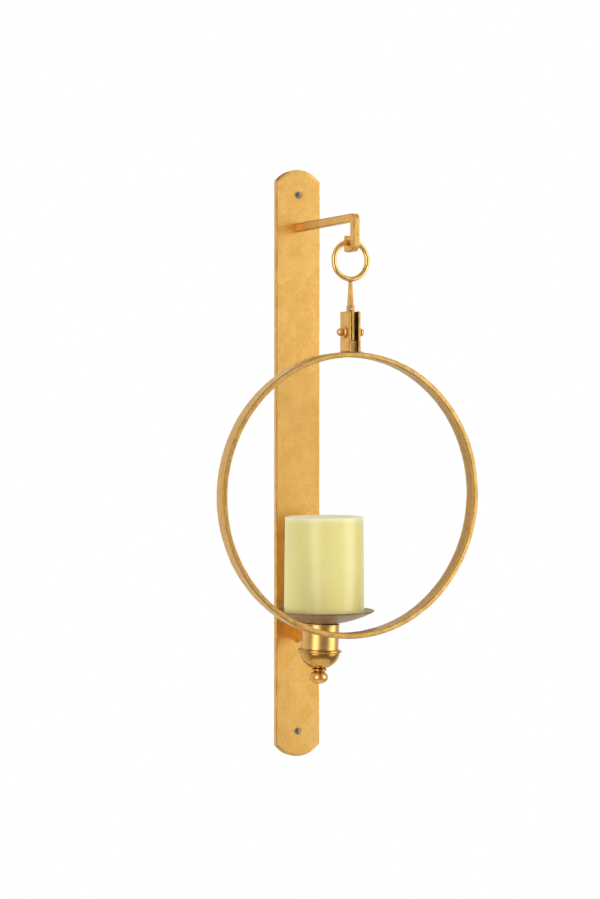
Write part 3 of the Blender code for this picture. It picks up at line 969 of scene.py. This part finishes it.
@dataclass
class RingLink(SubAssembly):
    """Small ring, the tapered blade under it and the hinge tongue."""

    wire_r: float = 2.5 * MM
    edge: float = 0.5 * MM
    box: Box = field(default_factory=lambda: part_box("hanging_ring"))

    def build(self) -> None:
        """Builds the ring, blade, tongue and their welds."""
        lo, hi = self.box
        centre = (lo + hi) / 2
        radius = (hi.x - lo.x) / 2 - self.wire_r
        wire = [(radius + self.wire_r * c, self.wire_r * s) for c, s in arc((0, 0), 1, 0, 360, 28)[:-1]]
        ring = turned("gilt_hanging_ring", wire, centre, Axis.Y, steps=128, closed=True)
        self.dress(forged(ring, amount=0.22 * MM, size=6 * MM, seed=8), BURNISHED_LEAF, "hanging_ring")
        self.blade()
        self.tongue()
        seat = Vector((0, centre.y, lo.z + 0.4 * MM))
        self.bead("ring_weld", seat, Vector((2.6, 2.5, 1.5)) * MM, 2)
        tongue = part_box("hinge_tongue")
        spot = Vector((-1.5 * MM, centre.y - 3.2 * MM, tongue[1].z - 3.4 * MM))
        self.bead("tongue_solder", spot, Vector((1.9, 2.9, 2.6)) * MM, 4, SOLDER)

    def blade(self) -> None:
        """Builds the blade, which widens downwards."""
        lo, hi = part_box("hanger_blade")
        width = hi.x - lo.x
        middle = (lo.y + hi.y) / 2
        loops, rows, narrow, sunk = [], 24, 3 * MM, 1.2 * MM
        for i in range(rows + 1):
            share = i / rows
            depth = narrow + (hi.y - lo.y - narrow) * share
            z = hi.z + sunk - (hi.z - lo.z + sunk) * share
            loops.append([Vector((x, middle + y, z)) for x, y in bar_section(width, depth, self.edge, 2)])
        self.dress(forged(skin("gilt_hanger_blade", loops), amount=0.15 * MM, size=7 * MM, seed=9),
                   GOLD_LEAF, "hanger_blade")

    def tongue(self) -> None:
        """Builds the tongue: a flat bar on edge, its foot round about the pin."""
        lo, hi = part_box("hinge_tongue")
        middle = (lo.y + hi.y) / 2
        half, corner, width = (hi.y - lo.y) / 2, 1.5 * MM, hi.x - lo.x
        sides = [(half, z) for z in [hi.z] + between(hi.z, lo.z + corner, 20)]
        sides += [(half - corner + c, z) for c, z in arc((0, lo.z + corner), corner, 0, -84, 6)]
        loops = []
        for y, z in sides:
            section = bar_section(width, 2 * y, self.edge, across=1, along=4)
            loops.append([Vector((x, middle + d, z)) for x, d in section])
        self.dress(forged(skin("gilt_hinge_tongue", loops), amount=0.14 * MM, size=6 * MM, seed=11),
                   GOLD_LEAF, "hinge_tongue")


@dataclass
class HoopAndClevis(SubAssembly):
    """Strap hoop, the clevis that stands on it, and its pin."""

    edge: float = 0.9 * MM
    strap: float = 5 * MM
    sweep: float = 10.4 * MM
    small_edge: float = 0.5 * MM
    # strength of the painted reflection on the hoop's inner face
    hoop_painted_reflection: float = 0.5
    box: Box = field(default_factory=lambda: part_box("hoop"))

    def build(self) -> None:
        """Builds the hoop, clevis and pin."""
        self.hoop()
        for node in ("clevis_cheek_left", "clevis_cheek_right"):
            self.cheek(node)
        self.spacer()
        self.pin()

    def hoop(self) -> None:
        """Builds the strap, rolled into a ring and left slightly uneven."""
        lo, hi = self.box
        centre = (lo + hi) / 2
        outer = (hi.x - lo.x) / 2
        thick = self.strap
        section = bar_section(thick, hi.y - lo.y, self.edge, across=2, along=5)
        profile = [(outer - thick / 2 + x, y) for x, y in section]
        hoop = turned("gilt_hoop", profile, centre, Axis.Y, steps=360, closed=True)
        hoop = forged(hoop, amount=0.25 * MM, size=45 * MM, seed=13)
        hoop = forged(hoop, amount=0.16 * MM, size=7 * MM, seed=14)
        # painted reflection: a band round the middle of the inner face is darkened towards olive
        inner, band = outer - thick + 0.5 * MM, 0.3 * (hi.y - lo.y)
        mark_painted_shading(
            hoop,
            lambda p: math.hypot(p.x - centre.x, p.z - centre.z) < inner and abs(p.y - centre.y) < band,
            self.hoop_painted_reflection,
        )
        self.dress(hoop, HOOP_LEAF, "hoop")
        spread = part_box("clevis_spacer")
        for side in (-1, 1):
            place = Vector((side * 7.4 * MM, centre.y, spread[0].z - 0.2 * MM))
            self.bead(f"clevis_weld_{'left' if side < 0 else 'right'}", place,
                      Vector((1.5, 7.5, 1.1)) * MM, 20 + side)
        place = Vector((6.6 * MM, lo.y + 0.9 * MM, spread[0].z - 0.4 * MM))
        self.bead("clevis_front_weld", place, Vector((3.8, 1.5, 1.1)) * MM, 26, SOLDER)

    def cheek(self, node: str) -> None:
        """Builds one cheek, filed by hand so that its long edges aren't quite straight.

        Args:
            node: Frame node that it stands for.
        """
        lo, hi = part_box(node)
        centre = (lo + hi) / 2
        ease, inset = self.small_edge, 0.35 * MM
        low, high = lo.z + ease, hi.z - ease
        rows = [(z, 0.0) for z in [lo.z + 0.01 * MM, low] + between(low, high, 30) + [high]]
        rows += [(hi.z - 0.1 * MM, inset), (hi.z, 2.5 * inset)]
        loops = []
        for z, draw in rows:
            section = bar_section(hi.x - lo.x - draw, hi.y - lo.y - draw, ease, across=1, along=7)
            loops.append([Vector((centre.x + x, centre.y + y, z)) for x, y in section])
        piece = skin("gilt_" + node, loops)
        seed = 15 if centre.x < 0 else 16
        # painted shade: the cheek's inner face towards the slot is darkened
        inner, reach = min(abs(lo.x), abs(hi.x)) + 0.45 * MM, (hi.y - lo.y) / 2 - 0.6 * MM
        mark_painted_shading(piece, lambda p: abs(p.x) < inner and abs(p.y - centre.y) < reach)
        self.dress(forged(piece, amount=0.22 * MM, size=5 * MM, seed=seed), GOLD_LEAF, node)

    def spacer(self) -> None:
        """Builds the block between the cheeks, its top slightly hollowed."""
        lo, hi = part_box("clevis_spacer")
        centre = (lo + hi) / 2
        pin_z = joint_place("hoop_swing").z
        half, width, sunk = (hi.y - lo.y) / 2, hi.x - lo.x + 0.5 * MM, 0.2 * MM
        loops = []
        for share in [-1.0] + between(-1, 1, 22) + [1.0]:
            y = share * half
            top = pin_z - math.sqrt(self.sweep ** 2 - y ** 2) - 0.1 * MM
            pinch = 0.4 * MM * max(0.0, abs(share) - 0.9) / 0.1
            middle, tall = (top + lo.z - sunk) / 2, top - lo.z + sunk - pinch
            loops.append([Vector((centre.x + x, centre.y + y, middle + z))
                          for x, z in bar_section(width - pinch, tall, self.small_edge, along=5)])
        self.dress(forged(skin("gilt_clevis_spacer", loops), amount=0.12 * MM, size=5 * MM, seed=17),
                   GOLD_LEAF, "clevis_spacer")

    def pin(self) -> None:
        """Builds the pin with its collars and ball ends."""
        lo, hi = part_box("hinge_pin")
        centre = (lo + hi) / 2
        radius, reach = (hi.z - lo.z) / 2, (hi.x - lo.x) / 2
        shaft = [(0, -reach)] + [(radius, t) for t in between(-reach, reach, 9)] + [(0, reach)]
        pin = turned("gilt_hinge_pin", shaft, centre, Axis.X, steps=40)
        self.dress(pin, TURNED_GOLD, "hinge_pin")
        for side, name in ((-1, "left"), (1, "right")):
            lo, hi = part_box("pin_collar_" + name)
            centre = Vector(((lo.x + hi.x) / 2, (lo.y + hi.y) / 2, (lo.z + hi.z) / 2))
            half, rim = (hi.x - lo.x) / 2, (hi.z - lo.z) / 2
            bore = radius + 0.2 * MM
            dome = [(bore + (rim - bore) * math.cos(t), -half + 2 * half * math.sin(t))
                    for t in (math.radians(9 * i) for i in range(11))]
            profile = [(bore, side * -half)] + [(max(r, bore + 0.1 * MM), side * h) for r, h in dome]
            collar = turned("gilt_pin_collar_" + name, profile, centre, Axis.X, steps=56, closed=True)
            self.dress(collar, TURNED_GOLD, "pin_collar_" + name)
            lo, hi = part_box("pin_ball_" + name)
            ball_r = (hi.z - lo.z) / 2
            outer = hi.x if side > 0 else lo.x
            flat = (hi.x - lo.x) - ball_r
            turn = math.degrees(math.asin(flat / ball_r))
            shape = [(0.0, ball_r)] + arc((0, 0), ball_r, 84, -turn, 20) + [(0.0, -flat)]
            middle = Vector((outer - side * ball_r, (lo.y + hi.y) / 2, (lo.z + hi.z) / 2))
            shape = [(r, side * h) for r, h in shape]
            ball = turned("gilt_pin_ball_" + name, shape, middle, Axis.X, steps=56)
            ball = forged(ball, amount=0.08 * MM, size=3 * MM, seed=30 + side)
            self.dress(ball, TURNED_GOLD, "pin_ball_" + name)


@dataclass
class CandleCup(SubAssembly):
    """Arm, tube, bowl, pan and finial of the cup, with the rod that clamps them."""

    sphere_r: float = 107.5 * MM
    sheet: float = 1.5 * MM
    pan_hole: float = 6.2 * MM
    tube_r: float = 19 * MM
    tube_wall: float = 1.5 * MM
    bowl_r: float = 20.8 * MM
    bowl_deep: float = 19.6 * MM
    bowl_rim_z: float = -189 * MM
    bowl_foot_z: float = -207.2 * MM
    rolled_r: float = 1.6 * MM
    bowl_wall: float = 1.5 * MM
    bore: float = 3.2 * MM
    neck_r: float = 7.8 * MM
    neck_z: Pair = (-207.5 * MM, -210.5 * MM)
    knob_r: float = 9.4 * MM
    knob_rise: float = 6.9 * MM
    knob_flat: float = 4.9 * MM
    rod_r: float = 3 * MM
    washer: Pair = (9.5 * MM, 1.2 * MM)
    nut: Pair = (5.02 * MM, 4.5 * MM)
    askew: float = math.radians(2.5)
    box: Box = field(default_factory=lambda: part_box("candle_pan"))

    @property
    def axis(self) -> Vector:
        """Foot of the cup's own upright axis, at height nought."""
        lo, hi = self.box
        return Vector(((lo.x + hi.x) / 2, (lo.y + hi.y) / 2, 0))

    def lean(self, piece: Piece) -> Piece:
        """Sets a piece that was turned upright onto the leaning axis of the tube.

        Args:
            piece: Piece to set over.

        Returns:
            The same piece.
        """
        lo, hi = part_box("cup_tube")
        middle = (lo + hi) / 2
        lower = Matrix.Translation((0, 0, -middle.z))
        piece.data.transform(Matrix.Translation(middle) @ Matrix.Rotation(self.askew, 4, "Y") @ lower)
        return piece

    def build(self) -> None:
        """Builds every piece of the cup."""
        self.arm()
        self.pan()
        self.tube()
        self.bowl()
        self.finial()
        self.rod()

    def arm(self) -> None:
        """Builds the thin bar on edge between plate and tube, with its weld."""
        lo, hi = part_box("cup_arm")
        centre = (lo + hi) / 2
        root, tip, edge = hi.y + 0.3 * MM, lo.y - 0.4 * MM, 0.6 * MM
        section = bar_section(hi.x - lo.x, hi.z - lo.z, edge, across=1, along=7)
        loops = [[Vector((centre.x + x, y, centre.z + z)) for x, z in section]
                 for y in [root] + between(hi.y, tip, 22) + [tip]]
        arm = forged(skin("gilt_cup_arm", loops), amount=0.15 * MM, size=7 * MM, seed=18)
        self.dress(arm, GOLD_LEAF, "cup_arm")
        spot = Vector((-0.3 * MM, hi.y - 0.8 * MM, lo.z - 1.0 * MM))
        self.bead("cup_arm_weld", spot, Vector((1.5, 1.4, 1.5)) * MM, 7)

    def pan(self) -> None:
        """Builds the dished pan, pressed from sheet, with a softly turned lip."""
        top = self.box[1]
        rim = top.x - self.axis.x
        lip = self.sheet / 2
        rim_z = top.z - 1.2 * lip
        middle = rim_z + math.sqrt(self.sphere_r ** 2 - rim ** 2)

        def surface(radius: float, start: float, end: float) -> list[Pair]:
            """Traces one face of the sheet.

            Args:
                radius: Radius of the face's ball.
                start: First distance from the pan's axis.
                end: Last distance from it.

            Returns:
                Points of the face, as (distance, height).
            """
            steps = 30
            stops = [start + (end - start) * i / steps for i in range(steps + 1)]
            return [(s, middle - math.sqrt(radius ** 2 - s ** 2)) for s in stops]

        under = surface(self.sphere_r, rim - lip, self.pan_hole)
        above = surface(self.sphere_r - self.sheet, self.pan_hole, rim - 1.6 * lip)
        start = under[0]
        end = above[-1]
        heart = ((start[0] + end[0]) / 2, (start[1] + end[1]) / 2)
        first = math.degrees(math.atan2(end[1] - heart[1], end[0] - heart[0]))
        turn = math.dist(start, end) / 2
        lip_arc = arc(heart, turn, first, first - 180, 8)[1:-1]
        sheet = under + above + lip_arc
        pan = turned("washed_candle_pan", sheet, self.axis, Axis.Z, steps=128, closed=True)
        self.dress(forged(pan, amount=0.20 * MM, size=16 * MM, seed=19), PAN_WASH, "candle_pan")

    def tube(self) -> None:
        """Builds the tube, its ends lightly eased."""
        lo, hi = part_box("cup_tube")
        outer, ease = self.tube_r, 0.3 * MM
        inner = outer - self.tube_wall
        spread = outer * math.sin(self.askew)
        top, foot = hi.z - spread + 0.2 * MM, lo.z + spread
        outside = [(outer - ease, top), (outer, top - ease)]
        outside += [(outer, z) for z in between(top - ease, foot + ease, 12)]
        outside += [(outer, foot + ease), (outer - ease, foot), (inner, foot), (inner, top)]
        tube = self.lean(turned("gilt_cup_tube", outside, Vector(), Axis.Z, steps=112, closed=True))
        self.dress(forged(tube, amount=0.05 * MM, size=12 * MM, seed=21), TURNED_GOLD, "cup_tube")

    def bowl(self) -> None:
        """Builds the bowl: rolled rim, a fine groove under it, round wall and flat foot."""
        half, rim_z, deep = self.bowl_r, self.bowl_rim_z, self.bowl_deep
        foot_z, bead, wall = self.bowl_foot_z, self.rolled_r, self.bowl_wall
        lowest = math.asin((rim_z - foot_z) / deep)
        outside = [(half * math.cos(a), rim_z - deep * math.sin(a))
                   for a in [lowest * (3 + i) / 33 for i in range(31)]]
        low_in = math.asin((rim_z - foot_z - wall) / (deep - wall))
        inside = [((half - wall) * math.cos(a), rim_z - (deep - wall) * math.sin(a))
                  for a in [low_in * i / 20 for i in range(21)]]
        rolled = arc((half, rim_z - 0.4 * bead), bead, 150, -68, 18)
        groove = [(half - 0.05 * MM, rim_z - 2.15 * MM)]
        hole = [(self.bore, foot_z), (self.bore, foot_z + wall)]
        profile = rolled + groove + outside + hole + inside[::-1]
        bowl = self.lean(turned("gilt_cup_bowl", profile, Vector(), Axis.Z, steps=112, closed=True))
        self.dress(forged(bowl, amount=0.08 * MM, size=8 * MM, seed=22), AGED_GOLD, "cup_bowl")

    def finial(self) -> None:
        """Builds the ringed neck and the knob."""
        top, foot = self.neck_z
        outer, z, bore = self.neck_r, (top + foot) / 2, self.bore
        # fine cove above and below one round bead
        neck = [(bore, top + 0.1 * MM), (outer - 0.9 * MM, top + 0.1 * MM),
                (outer - 1.5 * MM, top - 0.35 * MM)]
        neck += arc((outer - 1.15 * MM, z), 1.15 * MM, 70, -70, 12)
        neck += [(outer - 1.6 * MM, foot + 0.35 * MM), (outer - 1.9 * MM, foot - 0.1 * MM),
                 (bore, foot - 0.1 * MM)]
        piece = self.lean(turned("gilt_finial_collar", neck, Vector(), Axis.Z, steps=80, closed=True))
        self.dress(piece, AGED_GOLD, "finial_collar")
        start = math.acos(self.knob_flat / self.knob_r)
        flat_z = foot - 0.3 * MM
        middle = flat_z - self.knob_rise * math.sin(start)
        ball = [(self.knob_r * c, middle + self.knob_rise * s)
                for c, s in arc((0, 0), 1, math.degrees(start), -87, 34)]
        profile = [(0.0, flat_z)] + ball + [(0.0, middle - self.knob_rise)]
        knob = self.lean(turned("gilt_finial_knob", profile, Vector(), Axis.Z, steps=80))
        self.dress(forged(knob, amount=0.06 * MM, size=6 * MM, seed=23), TURNED_GOLD, "finial_knob")

    def rod(self) -> None:
        """Builds the threaded rod, the washer and the six-sided nut with its chamfers."""
        lo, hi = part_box("centre_rod")
        radius = self.rod_r
        high, low = hi.z - radius * math.sin(self.askew), lo.z + radius * math.sin(self.askew)
        pitch, depth = 1.0 * MM, 0.45 * MM

        def thread(reach: float, height: float, angle: float) -> float:
            """Cuts the screw thread.

            Args:
                reach: Radius of the plain rod.
                height: Height on it.
                angle: Angle round it.

            Returns:
                The rod's radius there.
            """
            turn = (height / pitch - angle / (2 * math.pi)) % 1.0
            return reach - depth * (1 - abs(2 * turn - 1)) * min(1.0, (high - height) / pitch)

        rows = int((high - low) / (pitch / 6))
        profile = [(0.0, high)] + [(radius, high - (high - low) * i / rows) for i in range(rows + 1)]
        profile += [(0.0, low)]
        rod = self.lean(turned("threaded_centre_rod", profile, Vector(), Axis.Z, steps=36, waver=thread))
        self.dress(rod, PLATED_STEEL, "centre_rod")

        (outer, thick), ease, bore = self.washer, 0.2 * MM, self.rod_r + 0.25 * MM
        lo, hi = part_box("pan_washer")
        face, back = (lo.z + hi.z) / 2 + thick / 2, (lo.z + hi.z) / 2 - thick / 2
        ring = [(bore, face), (outer - ease, face), (outer, face - ease),
                (outer, back + ease), (outer - ease, back), (bore, back)]
        self.dress(self.lean(turned("steel_pan_washer", ring, Vector(), Axis.Z, steps=72, closed=True)),
                   PLATED_STEEL, "pan_washer")

        lo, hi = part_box("pan_nut")
        flat, tall = self.nut
        top, foot = (lo.z + hi.z + tall) / 2, (lo.z + hi.z - tall) / 2

        def six_sided(reach: float, height: float, angle: float) -> float:
            """Cuts six flats and chamfers their corners at both faces.

            Args:
                reach: Radius of the profile.
                height: Height on the nut.
                angle: Angle round it.

            Returns:
                The nut's radius there.
            """
            if reach < flat * 0.9:
                return reach
            side = angle % (math.pi / 3) - math.pi / 6
            slope = min(top - height, height - foot) * math.tan(math.radians(62))
            return min(flat / math.cos(side), flat + slope)

        near, deep, inner = 0.2 * MM, 0.45 * MM, flat * 0.85
        stops = [top, top - near, top - deep] + between(top - deep, foot + deep, 4)
        stops += [foot + deep, foot + near, foot]
        wall = [(bore, top), (inner, top)] + [(flat, z) for z in stops] + [(inner, foot), (bore, foot)]
        nut = turned("steel_pan_nut", wall, Vector(), Axis.Z, steps=72, closed=True, waver=six_sided)
        self.dress(shade(self.lean(nut), sharp=25), PLATED_STEEL, "pan_nut")


@dataclass
class PillarCandle(SubAssembly):
    """Thick candle with a shallow burnt well, and its wick."""

    well_r: float = 36 * MM
    well_depth: float = 6.5 * MM
    taper: float = 1 * MM
    ease: float = 1.9 * MM
    inner_ease: float = 0.8 * MM
    box: Box = field(default_factory=lambda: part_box("candle"))

    def build(self) -> None:
        """Builds the candle and the wick."""
        lo, hi = self.box
        centre = Vector(((lo.x + hi.x) / 2, (lo.y + hi.y) / 2, 0))
        foot_r = (hi.x - lo.x) / 2
        top_r, ease, inner_ease = foot_r - self.taper, self.ease, self.inner_ease
        side_low, side_high = (foot_r, lo.z + ease), (top_r, hi.z - ease)
        side = [tuple(a + (b - a) * t for a, b in zip(side_high, side_low)) for t in between(0, 1, 40)]
        well_z = hi.z - self.well_depth
        floor = [(self.well_r * t, well_z + 5.8 * MM * t ** 6) for t in between(0, 1, 20)]
        lip = arc((top_r - ease, hi.z - ease), ease, 90, 0, 7)
        inner = arc((self.well_r + inner_ease, hi.z - inner_ease), inner_ease, 180, 95, 6)
        foot = arc((foot_r - ease, lo.z + ease), ease, 0, -88, 7)
        profile = [(0.0, well_z)] + floor + inner + lip + side + foot + [(0.6 * foot_r, lo.z), (0.0, lo.z)]

        def poured(reach: float, height: float, angle: float) -> float:
            """Sets the candle very slightly out of round, as poured wax is.

            Args:
                reach: Radius of the profile.
                height: Height of the point.
                angle: Angle round the candle.

            Returns:
                The candle's radius there.
            """
            place = Vector((math.cos(angle), math.sin(angle), height * 9))
            return reach + 0.25 * MM * (reach / foot_r) * noise.noise(place)

        candle = turned("wax_pillar_candle", profile, centre, Axis.Z, steps=144, waver=poured)
        shoulder = top_r - ease
        # painted light: the top face and the well inside the shoulder are made paler
        mark_painted_shading(candle, lambda p: p.z > well_z - 1 * MM
                  and math.hypot(p.x - centre.x, p.y - centre.y) < shoulder)
        # pale is the colour of the painted light on the candle's top
        wax = WaxFinish(
            "yellow_ivory_wax", "wax",
            body=(0.88, 0.81, 0.325), warm=(0.86, 0.77, 0.29), pale=(0.94, 0.91, 0.62), rim_z=hi.z,
        )
        self.dress(candle, wax, "candle")

        lo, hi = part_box("wick")
        radius = (hi.x - lo.x) / 2

        def plaited(reach: float, height: float, angle: float) -> float:
            """Lays three strands round each other.

            Args:
                reach: Radius of the wick.
                height: Height of the point.
                angle: Angle round the wick.

            Returns:
                The wick's radius there.
            """
            return reach * (0.90 + 0.10 * math.cos(3 * angle + height / (0.9 * MM)))

        start = well_z - 1 * MM
        rise = [(radius, hi.z - 0.3 * MM - (hi.z - start) * t) for t in between(0, 1, 26)]
        wick = turned("cotton_wick", [(0.0, hi.z), (0.6 * radius, hi.z - 0.1 * MM)] + rise + [(0.0, start)],
                      centre, Axis.Z, steps=36, waver=plaited)
        self.dress(wick, COTTON, "wick")


def joint_place(name: str) -> Vector:
    """Returns the place of a joint's axis in the frame."""
    return Vector(next(joint["pos_m"] for joint in frame["joints"] if joint["name"] == name))


# ---------------------------------------------------------------- studio


@dataclass
class Studio:
    """Camera, soft boxes, white surroundings and a pale floor well below the sconce."""

    eye: tuple[float, float, float] = (-1.0915, -2.2519, 0.0587)
    yaw: float = 25.965
    pitch: float = -1.009
    roll: float = 0.033
    lens: float = 96.1
    sensor: float = 36.0
    floor_drop: float = 0.8
    floor_r: float = 0.75
    front_room: float = 0.26
    back_room: float = 0.9
    ceiling: float = 0.75
    wall_fade: Pair = (-0.1, 0.6)
    ceiling_fade: Pair = (0.35, 0.85)
    box_distance: float = 2.0
    box_height: float = 0.15

    def build(self) -> None:
        """Sets up the camera, the lights and the floor."""
        self.camera()
        self.surroundings()
        self.soft_box("left_soft_box", bearing=-53, size=(1.1, 2.3), power=24.5)
        self.soft_box("right_soft_box", bearing=52, size=(1.35, 2.3), power=28.6)
        self.floor()

    def camera(self) -> None:
        """Places the camera."""
        yaw, pitch, roll = (math.radians(a) for a in (self.yaw, self.pitch, self.roll))
        ahead = Vector((math.sin(yaw) * math.cos(pitch), math.cos(yaw) * math.cos(pitch), math.sin(pitch)))
        right = Vector((math.cos(yaw), -math.sin(yaw), 0))
        up = right.cross(ahead)
        c, s = math.cos(roll), math.sin(roll)
        right, up = right * c + up * s, up * c - right * s
        data = bpy.data.cameras.new("camera")
        data.lens = self.lens
        data.sensor_width = self.sensor
        data.clip_end = 50
        eye = link("camera", data)
        turn = Matrix((right, up, -ahead)).transposed().to_4x4()
        eye.matrix_world = Matrix.Translation(self.eye) @ turn
        bpy.context.scene.camera = eye

    def surroundings(self) -> None:
        """White where seen directly; for the light on the object, dim in front and bright behind."""
        world = bpy.data.worlds.new("white_room")
        world.use_nodes = True
        tree = world.node_tree
        nodes, links = tree.nodes, tree.links
        seen = nodes["Background"]
        seen.inputs["Color"].default_value = (1, 1, 1, 1)
        seen.inputs["Strength"].default_value = 1.0
        toward = nodes.new("ShaderNodeTexCoord").outputs["Generated"]
        fade = ramp(tree, part(tree, toward, Axis.Y), *self.wall_fade, self.front_room, self.back_room)
        above = ramp(tree, part(tree, toward, Axis.Z), *self.ceiling_fade, 0.0, self.ceiling)
        room = nodes.new("ShaderNodeBackground")
        room.inputs["Color"].default_value = (1.0, 0.98, 0.95, 1)
        feed(tree, room.inputs["Strength"], combine(tree, Blend.HIGHEST, fade, above))
        choose = nodes.new("ShaderNodeMixShader")
        path = nodes.new("ShaderNodeLightPath")
        links.new(path.outputs["Is Camera Ray"], choose.inputs["Fac"])
        links.new(room.outputs["Background"], choose.inputs[1])
        links.new(seen.outputs["Background"], choose.inputs[2])
        links.new(choose.outputs["Shader"], nodes["World Output"].inputs["Surface"])
        bpy.context.scene.world = world
        bpy.context.scene.view_settings.view_transform = "Standard"

    def soft_box(self, name: str, bearing: float, size: Pair, power: float) -> None:
        """Hangs a soft box.

        Args:
            name: Name of the light.
            bearing: Degrees round from straight in front of the wall, to the right.
            size: Width and height, metres.
            power: Watts.
        """
        data = bpy.data.lights.new(name, "AREA")
        data.shape = "RECTANGLE"
        data.size, data.size_y = size
        data.energy = power
        lamp = link(name, data)
        turn = math.radians(bearing)
        far = self.box_distance
        lamp.location = (far * math.sin(turn), -far * math.cos(turn), self.box_height)
        lamp.rotation_euler = (math.pi / 2, 0, turn)

    def floor(self) -> None:
        """Lays a round pale floor well below the object, clear of the camera's view."""
        low = CAD_BOX[0].z - self.floor_drop
        edge = 8 * MM
        profile = [(0.0, low)] + [(r, low) for r in between(0, self.floor_r - edge, 6)]
        profile += arc((self.floor_r - edge, low - edge), edge, 90, 0, 5) + [(0.0, low - 2 * edge)]
        disc = turned("pale_floor", profile, Vector((0, CAD_BOX[0].y, 0)), Axis.Z, steps=96)
        p = Palette("pale_floor_paint")
        p.put(
            Base_Color=p.mix(p.spread(Pattern(0.2)), (0.86, 0.86, 0.85), (0.90, 0.90, 0.89)),
            Roughness=0.8,
        )
        disc.data.materials.append(p.material)


def main() -> None:
    """Builds the whole sconce, piece by piece, and the studio round it."""
    logging.basicConfig(level=logging.INFO, format="%(message)s")
    for assembly in (
        WallBar("root"), HookArm("root"), RingLink("ring"), HoopAndClevis("hoop"), CandleCup("root"),
        PillarCandle("candle"),
    ):
        assembly.build()
    Studio().build()


if __name__ == "__main__":
    main()
